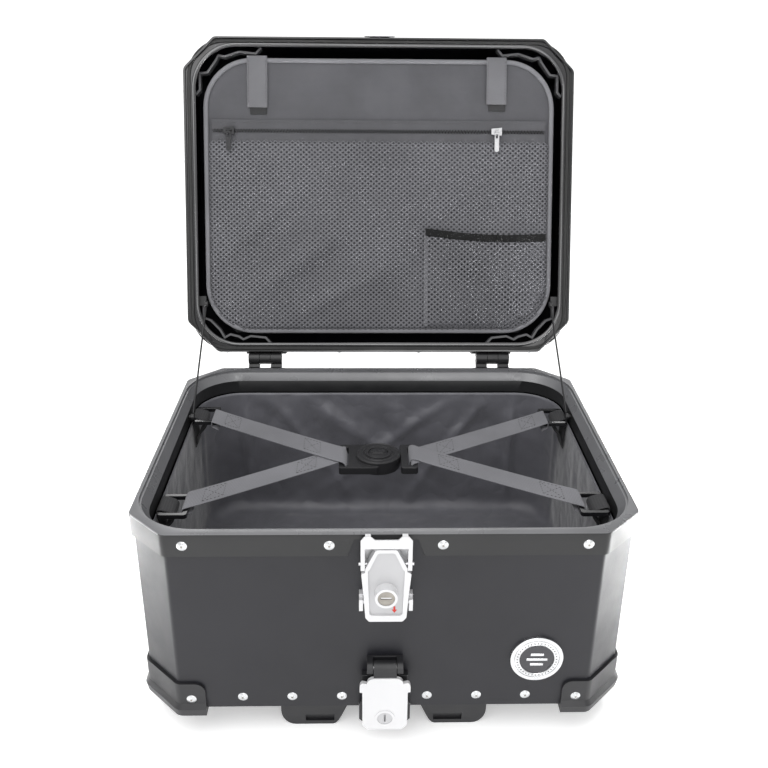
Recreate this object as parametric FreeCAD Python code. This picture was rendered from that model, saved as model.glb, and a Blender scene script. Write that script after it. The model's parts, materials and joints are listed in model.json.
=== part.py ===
import FreeCAD, Part
import math
import os

# Motorcycle top case: riveted sheet case, opening lid, front latch, quick-release base lock, rack plate.
#
# Millimetres, +Z up, front (the latch side) towards -Y. The origin is the centre of the rack plate's
# underside. The lid stands open on its check cables. Lid pieces are drawn on the closed lid first, with
# heights counted from the rim's top plane, and open_lid() then swings them back about the hinge pins.

V = FreeCAD.Vector
X_AXIS = V(1, 0, 0)
Y_AXIS = V(0, 1, 0)
Z_AXIS = V(0, 0, 1)

# ---- driving dimensions -------------------------------------------------------------------------
RIM_Z = 214.0            # top plane of the rim above the rack face
CASE_W = 430.0           # rim, left to right
CASE_D = 345.0           # rim, front to back
CORNER = 34.0            # the octagon's cut corners, along each side
BEND = 9.0               # bend radius of those corners at the rim's face
BAND_H = 21.0            # height of the rim's outer band
BAND_T = 2.7             # thickness of that band
SHEET = 1.5              # aluminium sheet of the case and the lid
SHELL_INSET = 3.0        # the sheet case stands this far inside the band
FLOOR_Z = RIM_Z - 181.7  # underside of the case
OPENING_W = 422.0        # rounded mouth of the rim
OPENING_D = 328.0
OPENING_R = 55.0
SKIRT_W = 406.0          # inner faces of the rim's hanging skirt
SKIRT_D = 316.0
SKIRT_R = 48.0
SKIRT_T = 2.0
SKIRT_DROP = 24.0

LID_W = 440.0
LID_D = 353.0
LID_CORNER = 34.6
CASE_PLAN = (CASE_W, CASE_D, CORNER, BEND)
LID_PLAN = (LID_W, LID_D, LID_CORNER, BEND)
LID_H = 95.0             # lid roof above the rim plane
LID_OPEN = 108.5         # opening angle at which the check cables are tight
LID_FRAME_H = 14.0       # height of the lid's own rim above the rim plane
LID_MOUTH_W = 413.8
LID_MOUTH_D = 331.6
LID_MOUTH_R = 46.0
LID_RECESS_W = 419.0     # wider recess above the lid's inner lip
LID_RECESS_D = 337.0
LID_RECESS_R = 44.0
LID_BEVEL = 16.0         # bevel round the roof
LID_PANEL_RISE = 2.5
ORGANISER_H = 12.0       # visible face of the organiser above the rim plane

HINGE_Y = 184.0          # hinge axis
HINGE_H = 7.0            # above the rim plane
HINGE_X = (113.0, 151.0)  # one barrel, from inner to outer end
KNUCKLE_R = 7.0
HINGE_PIN_R = 2.5
FIT = 0.05               # radial clearance of a running fit
GAP = 0.4                # gap between neighbours on different bodies

RIVET_HEAD_R = 4.3
RIVET_SHANK_R = 2.0
RIVET_HOLE_R = 2.05
RIM_RIVET_Z = RIM_Z - 10.8
FLOOR_RIVET_Z = RIM_Z - 170.6

LATCH_Y = -182.5         # front face of the latch
LATCH_PIVOT = (-176.0, RIM_Z - 63.7)   # lower pin, (y, z)
LATCH_HOOK_PIN = (-177.6, RIM_Z - 25.0)
LATCH_KEY_Z = RIM_Z - 50.7
LOCK_Y = -186.5          # front face of the base lock
LOCK_PIVOT = (-178.0, RIM_Z - 131.0)
LOCK_KEY_Z = RIM_Z - 180.0

STRAP_W = 26.0
STRAP_T = 1.5
STRAP_Z = RIM_Z - 20.0
BUCKLE = (-4.0, -11.0)   # centre of the cross buckle, (x, y)
CABLE_R = 1.0
CABLE_CASE = (203.0, 75.0, -16.0)      # x, y and height from the rim plane
CABLE_LID = (203.0, 121.5, 5.0)        # the same, on the closed lid

PLATE_W = 186.0
PLATE_FRONT = -158.0
PLATE_BACK = 122.0
PLATE_DECK = 4.0
PLATE_TOP = 30.0
SLOT_X = 110.0           # rack slots, centre to centre
SLOT_Y = 90.0
SLOT_R = 3.25
SLOT_LENGTH = 24.0

SIDES = (-1, 1)          # left, right
ENDS = (-1, 1)           # front, rear


# ---- small helpers ------------------------------------------------------------------------------
def box(x, y, z):
    """A block between two limits on each axis."""
    return Part.makeBox(x[1] - x[0], y[1] - y[0], z[1] - z[0], V(x[0], y[0], z[0]))


def rod(start, axis, radius, length):
    """A round bar."""
    return Part.makeCylinder(radius, length, V(*start), axis)


def fused(*shapes):
    """One solid from pieces that meet."""
    return shapes[0].multiFuse(list(shapes[1:])).removeSplitter()


def less(shape, *tools):
    """The shape with the tools cut out of it."""
    return shape.cut(list(tools)).removeSplitter()


def outline_wire(corners, radius):
    """A closed outline through 3D corners, each rounded as far as its two sides allow."""
    joints = []
    for i, corner in enumerate(corners):
        before = corners[i - 1] - corner
        after = corners[(i + 1) % len(corners)] - corner
        half_turn = (math.pi - before.getAngle(after)) / 2
        room = 0.49 * min(before.Length, after.Length)
        setback = min(radius * math.tan(half_turn), room)
        if setback < 0.01:
            joints.append((corner, None, corner))
            continue
        r = setback / math.tan(half_turn)
        inward = (before.normalize() + after.normalize()).normalize()
        middle = corner + inward * (r / math.cos(half_turn) - r)
        joints.append((corner + before * setback, middle, corner + after * setback))
    edges = []
    for i, (start, middle, end) in enumerate(joints):
        if middle is not None:
            edges.append(Part.Arc(start, middle, end).toShape())
        edges.append(Part.LineSegment(end, joints[(i + 1) % len(joints)][0]).toShape())
    return Part.Wire(edges)


def slab(points, z0, z1, radius=0.0):
    """A prism on a plan outline of (x, y) points."""
    wire = outline_wire([V(x, y, z0) for x, y in points], radius)
    return Part.Face(wire).extrude(V(0, 0, z1 - z0))


def side_slab(points, x0, x1, radius=0.0):
    """A prism on a side outline of (y, z) points, running along X."""
    wire = outline_wire([V(x0, y, z) for y, z in points], radius)
    return Part.Face(wire).extrude(V(x1 - x0, 0, 0))


def front_slab(points, y0, y1, radius=0.0):
    """A prism on a front outline of (x, z) points, running along Y."""
    wire = outline_wire([V(x, y0, z) for x, z in points], radius)
    return Part.Face(wire).extrude(V(0, y1 - y0, 0))


def ring_wire(plan, inset, z):
    """The octagon of a plan, moved inwards by inset, with its bends rounded."""
    width, depth, corner, bend = plan
    a = width / 2 - inset
    b = depth / 2 - inset
    c = corner - inset * (2 - math.sqrt(2))
    corners = [(-a, c - b), (c - a, -b), (a - c, -b), (a, c - b),
               (a, b - c), (a - c, b), (c - a, b), (-a, b - c)]
    return outline_wire([V(x, y, z) for x, y in corners], max(bend - inset, 1.0))


def ring_slab(plan, inset, z0, z1):
    """A straight octagonal block."""
    return Part.Face(ring_wire(plan, inset, z0)).extrude(V(0, 0, z1 - z0))


def ring_loft(plan, levels):
    """An octagonal block whose inset changes with height: levels are (z, inset)."""
    return Part.makeLoft([ring_wire(plan, inset, z) for z, inset in levels], True, True)


def round_wire(width, depth, radius, z):
    """A rounded rectangle in plan, centred on the origin."""
    a = width / 2
    b = depth / 2
    edges = []
    corners = [(a - radius, b - radius, 0), (radius - a, b - radius, 90),
               (radius - a, radius - b, 180), (a - radius, radius - b, 270)]
    for cx, cy, start in corners:
        turn = [math.radians(start + step) for step in (0, 45, 90)]
        edges.append(Part.Arc(*[V(cx + radius * math.cos(t), cy + radius * math.sin(t), z)
                                for t in turn]).toShape())
    ring = []
    for i, edge in enumerate(edges):
        after = edges[(i + 1) % len(edges)]
        ring.append(edge)
        ring.append(Part.LineSegment(edge.Vertexes[-1].Point, after.Vertexes[0].Point).toShape())
    return Part.Wire(ring)


def round_slab(width, depth, radius, z0, z1):
    """A plate with round corners."""
    return Part.Face(round_wire(width, depth, radius, z0)).extrude(V(0, 0, z1 - z0))


def round_box(x, y, z, radius):
    """A block whose upright edges are rounded."""
    plate = round_slab(x[1] - x[0], y[1] - y[0], radius, z[0], z[1])
    plate.translate(V((x[0] + x[1]) / 2, (y[0] + y[1]) / 2, 0))
    return plate


def mirrored(shape, normal):
    """Mirror image in a plane through the origin."""
    return shape.mirror(V(0, 0, 0), normal)


def lid_point(x, y, height):
    """Where a point of the closed lid stands when the lid is open."""
    turn = math.radians(-LID_OPEN)
    y = y - HINGE_Y
    z = height - HINGE_H
    return V(x, HINGE_Y + y * math.cos(turn) - z * math.sin(turn),
             RIM_Z + HINGE_H + y * math.sin(turn) + z * math.cos(turn))


def open_lid(shape):
    """Lift a closed-lid shape from the rim plane and swing it open."""
    moved = shape.copy()
    moved.translate(V(0, 0, RIM_Z))
    moved.rotate(V(0, HINGE_Y, RIM_Z + HINGE_H), X_AXIS, -LID_OPEN)
    return moved


def rivet(x, y, z, outward, grip):
    """A domed blind rivet: head with a centre dimple, and a shank through the sheets."""
    dome_r = 7.5
    sink = math.sqrt(dome_r ** 2 - RIVET_HEAD_R ** 2)
    ball = Part.makeSphere(dome_r, V(0, 0, -sink))
    head = ball.common(rod((0, 0, 0), Z_AXIS, RIVET_HEAD_R, dome_r))
    head = less(head, rod((0, 0, 1.1), Z_AXIS, 0.9, 2))
    piece = fused(head, rod((0, 0, -grip), Z_AXIS, RIVET_SHANK_R, grip + 0.2))
    piece.Placement = FreeCAD.Placement(V(x, y, z), FreeCAD.Rotation(Z_AXIS, outward))
    return piece


def rivet_hole(x, y, z, outward):
    """The hole for one rivet, long enough for every sheet it goes through."""
    reach = 12
    start = V(x, y, z) - outward * reach
    return Part.makeCylinder(RIVET_HOLE_R, 2 * reach, start, outward)


# ---- rivet places -------------------------------------------------------------------------------
RIM_RIVET_X = (46.1, 164.7)
RIM_RIVET_SIDE_Y = (40.0, 118.0)
FLOOR_RIVET_X = (37.5, 81.15, 124.6, 169.1)
FLOOR_RIVET_SIDE_Y = (36.0, 81.0, 126.0)
LID_RIVET_X = (46.1, 176.0)
LID_RIVET_SIDE_Y = (40.0, 118.0)
HINGE_RIVET_X = (122.0, 142.0)
HINGE_RIVET_DROP = 15.0


def wall_places(along_x, along_y, half_w, half_d, z):
    """Rivet places on four walls: (x, y, z, outward direction)."""
    places = []
    for end in ENDS:
        places += [(s * x, end * half_d, z, Y_AXIS * end) for x in along_x for s in SIDES]
    for side in SIDES:
        places += [(side * half_w, e * y, z, X_AXIS * side) for y in along_y for e in ENDS]
    return places


def rim_rivet_places():
    """Round the rim band."""
    return wall_places(RIM_RIVET_X, RIM_RIVET_SIDE_Y, CASE_W / 2, CASE_D / 2, RIM_RIVET_Z)


def hinge_rivet_places():
    """Through the case leaves of the two hinges."""
    y = CASE_D / 2 + LEAF_T
    return [(s * x, y, RIM_Z - HINGE_RIVET_DROP, Y_AXIS) for s in SIDES for x in HINGE_RIVET_X]


def floor_rivet_places():
    """Round the foot of the case; the outermost ones go through the corner guards."""
    half_w = CASE_W / 2 - SHELL_INSET
    half_d = CASE_D / 2 - SHELL_INSET
    places = []
    for x, y, z, outward in wall_places(FLOOR_RIVET_X, FLOOR_RIVET_SIDE_Y, half_w, half_d,
                                        FLOOR_RIVET_Z):
        in_guard = abs(x) > GUARD_X if outward.y else abs(y) > GUARD_Y
        lift = GUARD_T if in_guard else 0.0
        places.append((x + lift * outward.x, y + lift * outward.y, z, outward))
    return places


def lid_rivet_places():
    """Round the lid's rim, on the closed lid."""
    return wall_places(LID_RIVET_X, LID_RIVET_SIDE_Y, LID_W / 2, LID_D / 2, LID_RIVET_H)


# ---- case ---------------------------------------------------------------------------------------
SHELL_TOP = RIM_Z - 4.0
PAN_FLANGE = 18.0        # upturned edge of the floor pan
GUARD_T = 2.5
GUARD_X = 156.7          # inner end of a guard's front wing
GUARD_Y = 114.0          # inner end of its side wing
GUARD_TOP = RIM_Z - 154.0
GUARD_FOOT = RIM_Z - 188.0
LEAF_T = 3.0
LID_RIVET_H = 8.0


def shell_slab(inset, z0, z1):
    """A block with the plan of the sheet case, moved inwards by inset."""
    return ring_slab(CASE_PLAN, SHELL_INSET + inset, z0, z1)


def case_shell():
    """The folded sheet wall, open at the top and the bottom."""
    wall = less(shell_slab(0, FLOOR_Z, SHELL_TOP), shell_slab(SHEET, FLOOR_Z - 1, SHELL_TOP + 1))
    places = rim_rivet_places() + floor_rivet_places() + hinge_rivet_places()
    return less(wall, *[rivet_hole(*place) for place in places])


def floor_pan():
    """The sheet floor with its upturned, riveted edge."""
    top = FLOOR_Z + PAN_FLANGE
    pan = less(shell_slab(SHEET + 0.05, FLOOR_Z, top),
               shell_slab(2 * SHEET + 0.05, FLOOR_Z + SHEET, top + 1))
    return less(pan, *[rivet_hole(*place) for place in floor_rivet_places()])


def rim_frame():
    """The moulded rim: outer band, flat lip, sloped throat and hanging skirt."""
    low = RIM_Z - BAND_H
    body = ring_slab(CASE_PLAN, 0, low, RIM_Z - 2.0)
    crown = ring_loft(CASE_PLAN, ((RIM_Z - 2.0, 0), (RIM_Z - 0.7, 0.5), (RIM_Z, 1.8)))
    skirt_face = (SKIRT_W + 2 * SKIRT_T, SKIRT_D + 2 * SKIRT_T, SKIRT_R + SKIRT_T)
    skirt = round_slab(*skirt_face, RIM_Z - SKIRT_DROP, RIM_Z - 11)
    slope_back = Part.makeLoft([round_wire(*skirt_face, RIM_Z - 11),
                                round_wire(OPENING_W - 3, OPENING_D + 3, OPENING_R - 2, RIM_Z - 2)],
                               True, True)
    slot = less(ring_slab(CASE_PLAN, BAND_T, low - 1, SHELL_TOP + 0.5), skirt, slope_back)
    mouth = round_slab(OPENING_W, OPENING_D, OPENING_R, RIM_Z - 2.4, RIM_Z + 1)
    throat = Part.makeLoft([round_wire(OPENING_W - 4, OPENING_D - 3, OPENING_R - 2, RIM_Z - 2.4),
                            round_wire(SKIRT_W, SKIRT_D, SKIRT_R, RIM_Z - 10.5)], True, True)
    bore = round_slab(SKIRT_W, SKIRT_D, SKIRT_R, RIM_Z - SKIRT_DROP - 1, RIM_Z - 10.5)
    notch = front_slab([(-32, low - 1), (32, low - 1), (26, RIM_Z - 5), (-26, RIM_Z - 5)],
                       -CASE_D / 2 - 1, -CASE_D / 2 + BAND_T, 2.0)
    frame = less(fused(body, crown, skirt, slope_back), slot, mouth, throat, bore, notch)
    holes = [rivet_hole(*place) for place in rim_rivet_places() + hinge_rivet_places()]
    return less(frame, *[hole.cut(fused(skirt, slope_back)) for hole in holes])


def rim_rivets():
    """Rivets of the rim band and of the hinge leaves."""
    band = [rivet(*place, BAND_T + SHEET + 2.0) for place in rim_rivet_places()]
    hinges = [rivet(*place, LEAF_T + BAND_T + SHEET + 2.0) for place in hinge_rivet_places()]
    return Part.makeCompound(band + hinges)


def floor_rivets():
    """Rivets of the foot of the case."""
    return Part.makeCompound([rivet(*place, GUARD_T + 2 * SHEET + 1.5)
                              for place in floor_rivet_places()])


def corner_guard(side, end):
    """Moulded guard round one lower corner, with a flared foot under the floor."""
    region = box((GUARD_X, CASE_W), (GUARD_Y, CASE_D), (0, RIM_Z))
    wing_skirt = less(shell_slab(-GUARD_T, FLOOR_Z - 1, GUARD_TOP),
                      shell_slab(-0.05, FLOOR_Z - 2, GUARD_TOP + 1))
    flare = ((GUARD_FOOT, SHELL_INSET - 4.0), (FLOOR_Z + 1.5, SHELL_INSET - 5.5),
             (FLOOR_Z + 6, SHELL_INSET - GUARD_T))
    foot = ring_loft(CASE_PLAN, flare)
    pocket = shell_slab(-0.05, FLOOR_Z - 0.05, FLOOR_Z + 10)
    hollow = shell_slab(14.0, GUARD_FOOT - 1, FLOOR_Z + 1)
    guard = less(fused(wing_skirt, less(foot, pocket)), hollow).common(region)
    # the wings' upper ends are rounded off in front and side view
    crop = 9.0
    front_cut = less(box((GUARD_X - 1, GUARD_X + crop), (0, CASE_D), (GUARD_TOP - crop, GUARD_TOP + 1)),
                     rod((GUARD_X + crop, 0, GUARD_TOP - crop), Y_AXIS, crop, CASE_D))
    side_cut = less(box((0, CASE_W), (GUARD_Y - 1, GUARD_Y + crop), (GUARD_TOP - crop, GUARD_TOP + 1)),
                    rod((0, GUARD_Y + crop, GUARD_TOP - crop), X_AXIS, crop, CASE_W))
    guard = less(guard, front_cut, side_cut)
    if side < 0:
        guard = mirrored(guard, X_AXIS)
    if end < 0:
        guard = mirrored(guard, Y_AXIS)
    return less(guard, *[rivet_hole(*place) for place in floor_rivet_places()])


def liner():
    """Soft fabric lining, plain and open at the top."""
    top = RIM_Z - SKIRT_DROP - 0.8
    outer = round_slab(SKIRT_W - 1, SKIRT_D - 1, SKIRT_R, FLOOR_Z + SHEET + 0.3, top)
    inner = round_slab(SKIRT_W - 6, SKIRT_D - 6, SKIRT_R - 2.5, FLOOR_Z + SHEET + 2.8, top + 1)
    return less(outer, inner)


def badge():
    """Round badge pressed on the front wall."""
    centre = (131.5, -CASE_D / 2 + SHELL_INSET, RIM_Z - 129.0)
    disc = rod(centre, -Y_AXIS, 23.0, 3.0)
    return less(disc, rod((centre[0], centre[1] - 1.8, centre[2]), -Y_AXIS, 19.5, 3.0))


# ---- hinges -------------------------------------------------------------------------------------
def knuckle(x0, x1, bore):
    """One hinge knuckle on the closed hinge axis, with its pin hole, at rim-plane height."""
    barrel = rod((x0, HINGE_Y, HINGE_H), X_AXIS, KNUCKLE_R, x1 - x0)
    return barrel, rod((x0 - 1, HINGE_Y, HINGE_H), X_AXIS, bore, x1 - x0 + 2)


def hinge_steps():
    """X limits of the inner case knuckle, the lid knuckle and the outer case knuckle."""
    inner, outer = HINGE_X
    third = (outer - inner) / 3
    return ((inner, inner + third), (inner + third + GAP, outer - third - GAP),
            (outer - third, outer))


def hinge_leaf_case(side):
    """Leaf on the rim's back with two knuckles."""
    face = CASE_D / 2
    inner, outer = HINGE_X
    leaf = box((inner - 4, outer + 4), (face, face + LEAF_T), (-BAND_H + 1, -1.6))
    arm = [(face + LEAF_T - 1, -9.5), (HINGE_Y + 4.9, HINGE_H - 5), (HINGE_Y, HINGE_H),
           (HINGE_Y - 5.8, -1.6), (face + LEAF_T - 1, -1.6)]
    pieces = [leaf]
    bores = []
    for x0, x1 in hinge_steps()[::2]:
        barrel, bore = knuckle(x0, x1, HINGE_PIN_R)
        pieces += [barrel, side_slab(arm, x0, x1)]
        bores.append(bore)
    piece = less(fused(*pieces), *bores)
    piece.translate(V(0, 0, RIM_Z))
    piece = less(piece, *[rivet_hole(*place) for place in hinge_rivet_places()])
    return piece if side > 0 else mirrored(piece, X_AXIS)


def hinge_leaf_lid(side):
    """Leaf on the lid's back wall with the middle knuckle."""
    face = LID_D / 2
    inner, outer = HINGE_X
    x0, x1 = hinge_steps()[1]
    leaf = box((inner - 4, outer + 4), (face, face + LEAF_T), (HINGE_H + 9, HINGE_H + 27))
    tab = box((x0, x1), (face + 0.5, face + LEAF_T), (HINGE_H, HINGE_H + 10))
    barrel, bore = knuckle(x0, x1, HINGE_PIN_R + FIT)
    piece = less(fused(leaf, tab, barrel), bore)
    piece = less(piece, *[lid_hinge_rivet_hole(x) for x in HINGE_RIVET_X])
    return open_lid(piece if side > 0 else mirrored(piece, X_AXIS))


def lid_hinge_rivet_places():
    """Through the lid leaves, on the closed lid."""
    return [(s * x, LID_D / 2 + LEAF_T, HINGE_H + 18, Y_AXIS) for s in SIDES for x in HINGE_RIVET_X]


def lid_hinge_rivet_hole(x):
    """One hole through a lid leaf on the right."""
    return rivet_hole(x, LID_D / 2 + LEAF_T, HINGE_H + 18, Y_AXIS)


def hinge_pins():
    """Steel pins, tight in the case knuckles."""
    inner, outer = HINGE_X
    z = RIM_Z + HINGE_H
    return Part.makeCompound([rod((s * (inner - 0.5) if s > 0 else -outer - 0.5, HINGE_Y, z),
                                  X_AXIS, HINGE_PIN_R, outer - inner + 1) for s in SIDES])


# ---- lid ----------------------------------------------------------------------------------------
def lid_frame():
    """The lid's moulded rim: outer skirt over the case rim, flat underside, rounded mouth."""
    body = ring_loft(LID_PLAN, ((-0.9, 0.8), (0.3, 0), (LID_FRAME_H - 1.2, 0), (LID_FRAME_H, 1.2)))
    step = ring_slab(LID_PLAN, 2.5, -2, 2.0)
    mouth = round_slab(LID_MOUTH_W, LID_MOUTH_D, LID_MOUTH_R, 1, 7)
    recess = round_slab(LID_RECESS_W, LID_RECESS_D, LID_RECESS_R, 6, LID_FRAME_H + 1)
    groove = less(round_slab(432, 348, 52, 1, 2.8), round_slab(424, 340, 48, 0, 3))
    wall_slot = less(ring_slab(LID_PLAN, BAND_T, 6.0, LID_FRAME_H + 1),
                     ring_slab(LID_PLAN, BAND_T + SHEET + 0.1, 5, LID_FRAME_H + 2))
    holes = [rivet_hole(*place) for place in lid_rivet_places()]
    return open_lid(less(body, step, mouth, recess, groove, wall_slot, *holes))


def lid_shell():
    """Sheet lid: straight walls, bevelled roof edge and a pressed panel in the roof."""
    inset = BAND_T + 0.05
    shoulder = LID_H - LID_BEVEL
    panel_w = LID_W - 140.0
    panel_d = LID_D - 139.0
    solid = fused(ring_slab(LID_PLAN, inset, 6.2, shoulder),
                  ring_loft(LID_PLAN, ((shoulder, inset), (LID_H, inset + LID_BEVEL))),
                  round_slab(panel_w, panel_d, 20, LID_H - 0.5, LID_H + LID_PANEL_RISE))
    hollow = fused(ring_slab(LID_PLAN, inset + SHEET, 5, shoulder - 0.6),
                   ring_loft(LID_PLAN, ((shoulder - 0.6, inset + SHEET),
                                        (LID_H - SHEET, inset + LID_BEVEL + 0.6))),
                   round_slab(panel_w - 2 * SHEET, panel_d - 2 * SHEET, 20 - SHEET, LID_H - 3,
                              LID_H + LID_PANEL_RISE - SHEET))
    holes = [rivet_hole(*place) for place in lid_rivet_places()]
    holes += [rivet_hole(*place) for place in lid_hinge_rivet_places()]
    return open_lid(less(solid, hollow, *holes))


def lid_gasket():
    """Rubber seal in the lid's underside, resting on the rim's lip when shut."""
    ring = less(round_slab(431.8, 347.8, 51.9, 0.3, 2.8), round_slab(424.2, 340.2, 48.1, 0, 3))
    return open_lid(ring.common(ring_slab(LID_PLAN, 2.6, 0, 3)))


def lid_rivets():
    """Rivets of the lid's rim and of the hinge leaves on the lid."""
    band = [rivet(*place, BAND_T + SHEET + 1.0) for place in lid_rivet_places()]
    hinges = [rivet(*place, LEAF_T + BAND_T + SHEET + 1.0) for place in lid_hinge_rivet_places()]
    return open_lid(Part.makeCompound(band + hinges))


def bent_band(points, thick, z0, z1):
    """An upright band that follows a plan line, from mitred runs."""
    runs = []
    for (xa, ya), (xb, yb) in zip(points, points[1:]):
        length = math.hypot(xb - xa, yb - ya)
        nx = -(yb - ya) / length * thick / 2
        ny = (xb - xa) / length * thick / 2
        runs.append(slab([(xa + nx, ya + ny), (xb + nx, yb + ny), (xb - nx, yb - ny),
                          (xa - nx, ya - ny)], z0, z1))
        runs.append(rod((xb, yb, z0), Z_AXIS, thick / 2, z1 - z0))
    return fused(*runs[:-1])


REAR_BRACKET = [(-208.2, 117.0), (-203.5, 122.0), (-203.5, 137.6), (-195.4, 140.5),
                (-185.0, 151.1), (-179.5, 160.5), (-172.9, 156.7), (-163.1, 159.2),
                (-158.0, 162.5), (-149.3, 158.7), (-132.0, 160.5), (-126.0, 167.2)]
FRONT_BRACKET = [(-208.2, -115.0), (-203.5, -120.0), (-203.5, -138.5), (-194.7, -139.4),
                 (-185.2, -152.7), (-182.1, -158.4), (-175.1, -157.0), (-158.4, -162.5), (-140.0, -160.5),
                 (-134.0, -167.2)]


def lid_brackets(points):
    """Toothed plastic bands that clip the organiser into two corners of the lid."""
    band = bent_band(points, 2.4, ORGANISER_H - 1, ORGANISER_H + 9)
    return open_lid(Part.makeCompound([band, mirrored(band, X_AXIS)]))


def lid_strike():
    """Steel tongue on the lid's front edge, held down by the latch hook."""
    high = HOOK_TOP - CLAW_T - RIM_Z - 0.6
    tongue = round_box((-17.5, 17.5), (-180.8, -LID_D / 2), (high - 3.2, high), 1.5)
    riser = box((-11.0, 11.0), (-178.2, -LID_D / 2), (high - 1.0, 12.0))
    return open_lid(fused(tongue, riser))


def organiser_panel():
    """Padded back panel of the lid organiser."""
    panel = round_slab(400, 311, 55, ORGANISER_H, ORGANISER_H + 5)
    panel.translate(V(0, -0.5, 0))
    return open_lid(panel)


def mesh_pocket():
    """Main pocket of netting under the zip."""
    sheet = round_slab(388, 216, 48, ORGANISER_H - 2.6, ORGANISER_H - 0.2)
    sheet = fused(sheet, round_box((-194, 194), (-108, 0), (ORGANISER_H - 2.6, ORGANISER_H - 0.2), 3))
    sheet.translate(V(0, 43.0, 0))
    return open_lid(sheet.common(box((-194, 194), (-64, 151), (0, 30))))


def side_pocket():
    """Small netting pocket with an elastic top."""
    outline = [(54, 36), (192, 42), (192, 100), (186, 118), (172, 134), (150, 145), (54, 147)]
    return open_lid(slab(outline, ORGANISER_H - 6.6, ORGANISER_H - 2.9))


def zip_tape():
    """Zip with its two tapes."""
    return open_lid(box((-190, 190), (-88, -66), (ORGANISER_H - 2.0, ORGANISER_H - 0.2)))


ZIP_Y = -75.0
PULL_BAR = 1.9           # the pull's bar stands this far off the slider
SLIDERS = {"left": -171.0, "right": 134.0}


def zip_slider(x):
    """Cast slider body with the bar for its pull."""
    low = ORGANISER_H - 5.2
    bar = low - PULL_BAR
    body = slab([(x - 6, ZIP_Y - 3.2), (x + 6, ZIP_Y - 4.4), (x + 6, ZIP_Y + 4.4),
                 (x - 6, ZIP_Y + 3.2)], low, ORGANISER_H - 2.4)
    pin = rod((x - 2.6, ZIP_Y, bar), X_AXIS, 0.8, 5.2)
    posts = [box((x + s * 2.6 - 0.5, x + s * 2.6 + 0.5), (ZIP_Y - 0.9, ZIP_Y + 0.9),
                 (bar - 0.8, low)) for s in SIDES]
    return open_lid(fused(body, pin, *posts))


def zip_pull(x):
    """Pull tab that hangs from the slider's bar."""
    low = ORGANISER_H - 5.2 - PULL_BAR
    eye = rod((x - 1.9, ZIP_Y, low), X_AXIS, 1.5, 3.8)
    blade = round_box((x - 2.6, x + 2.6), (ZIP_Y + 1.0, ZIP_Y + 23), (low - 0.8, low + 0.8), 2.4)
    hole = rod((x - 3, ZIP_Y, low), X_AXIS, 0.8 + FIT, 6)
    slot = box((x - 1.3, x + 1.3), (ZIP_Y + 3.4, ZIP_Y + 8), (low - 2, low + 2))
    return open_lid(less(fused(eye, blade), hole, slot))


def fastening_tabs():
    """Two hook-and-loop tabs that hang the organiser from the lid's front edge."""
    tabs = []
    for x0, x1, y1 in ((-150, -127, -101), (122, 145, -106)):
        tabs.append(round_box((x0, x1), (-158.5, y1), (ORGANISER_H - 2.4, ORGANISER_H - 0.2), 2))
    return open_lid(Part.makeCompound(tabs))


# ---- check cables -------------------------------------------------------------------------------
EYE_R = 3.5              # cable end eyes
CABLE_END = 4.5          # the cable starts this far from the centre of its eye


def cable_ends(side):
    """Centres of one cable's two eyes."""
    x, y, height = CABLE_CASE
    low = V(side * (x - 4), y, RIM_Z + height)
    x, y, height = CABLE_LID
    return low, lid_point(side * (x - 4), y, height)


def cable_brackets_case():
    """Studs on the rim's skirt with the cables' lower eyes."""
    pieces = []
    for side in SIDES:
        low, _ = cable_ends(side)
        stud = rod((low.x - 1.5 * side, low.y, low.z), X_AXIS * side, 2.2, 5.3)
        washer = rod((low.x - 1.6 * side, low.y, low.z), X_AXIS * side, EYE_R, 3.2)
        pieces.append(fused(stud, washer))
    return Part.makeCompound(pieces)


def cable_brackets_lid():
    """Angle brackets inside the lid with the cables' upper eyes."""
    pieces = []
    for side in SIDES:
        x, y, height = CABLE_LID
        x -= 4
        eye = rod((side * (x - 1.6), y, height), X_AXIS * side, EYE_R, 3.2)
        foot = box((x + 0.5, LID_RECESS_W / 2 - 0.05), (y - 9, y + 2), (height + 2.2, height + 5.5))
        arm = box((x + 0.5, x + 2.0), (y - 3.4, y + 3.4), (height - 2, height + 4))
        if side < 0:
            foot = mirrored(foot, X_AXIS)
            arm = mirrored(arm, X_AXIS)
        pieces.append(open_lid(fused(eye, foot, arm)))
    return Part.makeCompound(pieces)


def check_cable(side):
    """Straight steel cable from eye to eye."""
    low, high = cable_ends(side)
    along = high - low
    length = along.Length - 2 * CABLE_END
    along.normalize()
    return Part.makeCylinder(CABLE_R, length, low + along * CABLE_END, along)


# ---- cargo straps -------------------------------------------------------------------------------
STRAP_ENDS = {"front_left": (-190.0, -90.0), "rear_left": (-191.0, 90.0),
              "front_right": (190.0, -92.0), "rear_right": (191.0, 90.0)}
UPPER_STRAPS = ("rear_left", "front_right")   # these lie on top where two straps meet
UPPER_GAP = 0.6          # an upper strap lies this far above the straps' mid plane
LOWER_GAP = 0.2          # a lower strap's top lies this far below it
BUCKLE_HALF = 34.0       # from the buckle's centre to a strap bar
RING_OUT = 199.6         # outer side of the corner rings
RING_X = 26.0
RING_Y = 36.0
RING_DROP = 4.6          # from a strap's lower face down to its ring's


def strap_low(name):
    """Height of the strap's lower face; where two straps meet, one lies above the other."""
    return STRAP_Z + (UPPER_GAP if name in UPPER_STRAPS else -STRAP_T - LOWER_GAP)


def strap_line(name):
    """The strap's run in plan, from its corner ring to the buckle's bar."""
    x, y = STRAP_ENDS[name]
    side = math.copysign(1, x)
    return V(x - side * 4, y, 0), V(BUCKLE[0] + side * (BUCKLE_HALF + 4.5), BUCKLE[1], 0)


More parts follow.
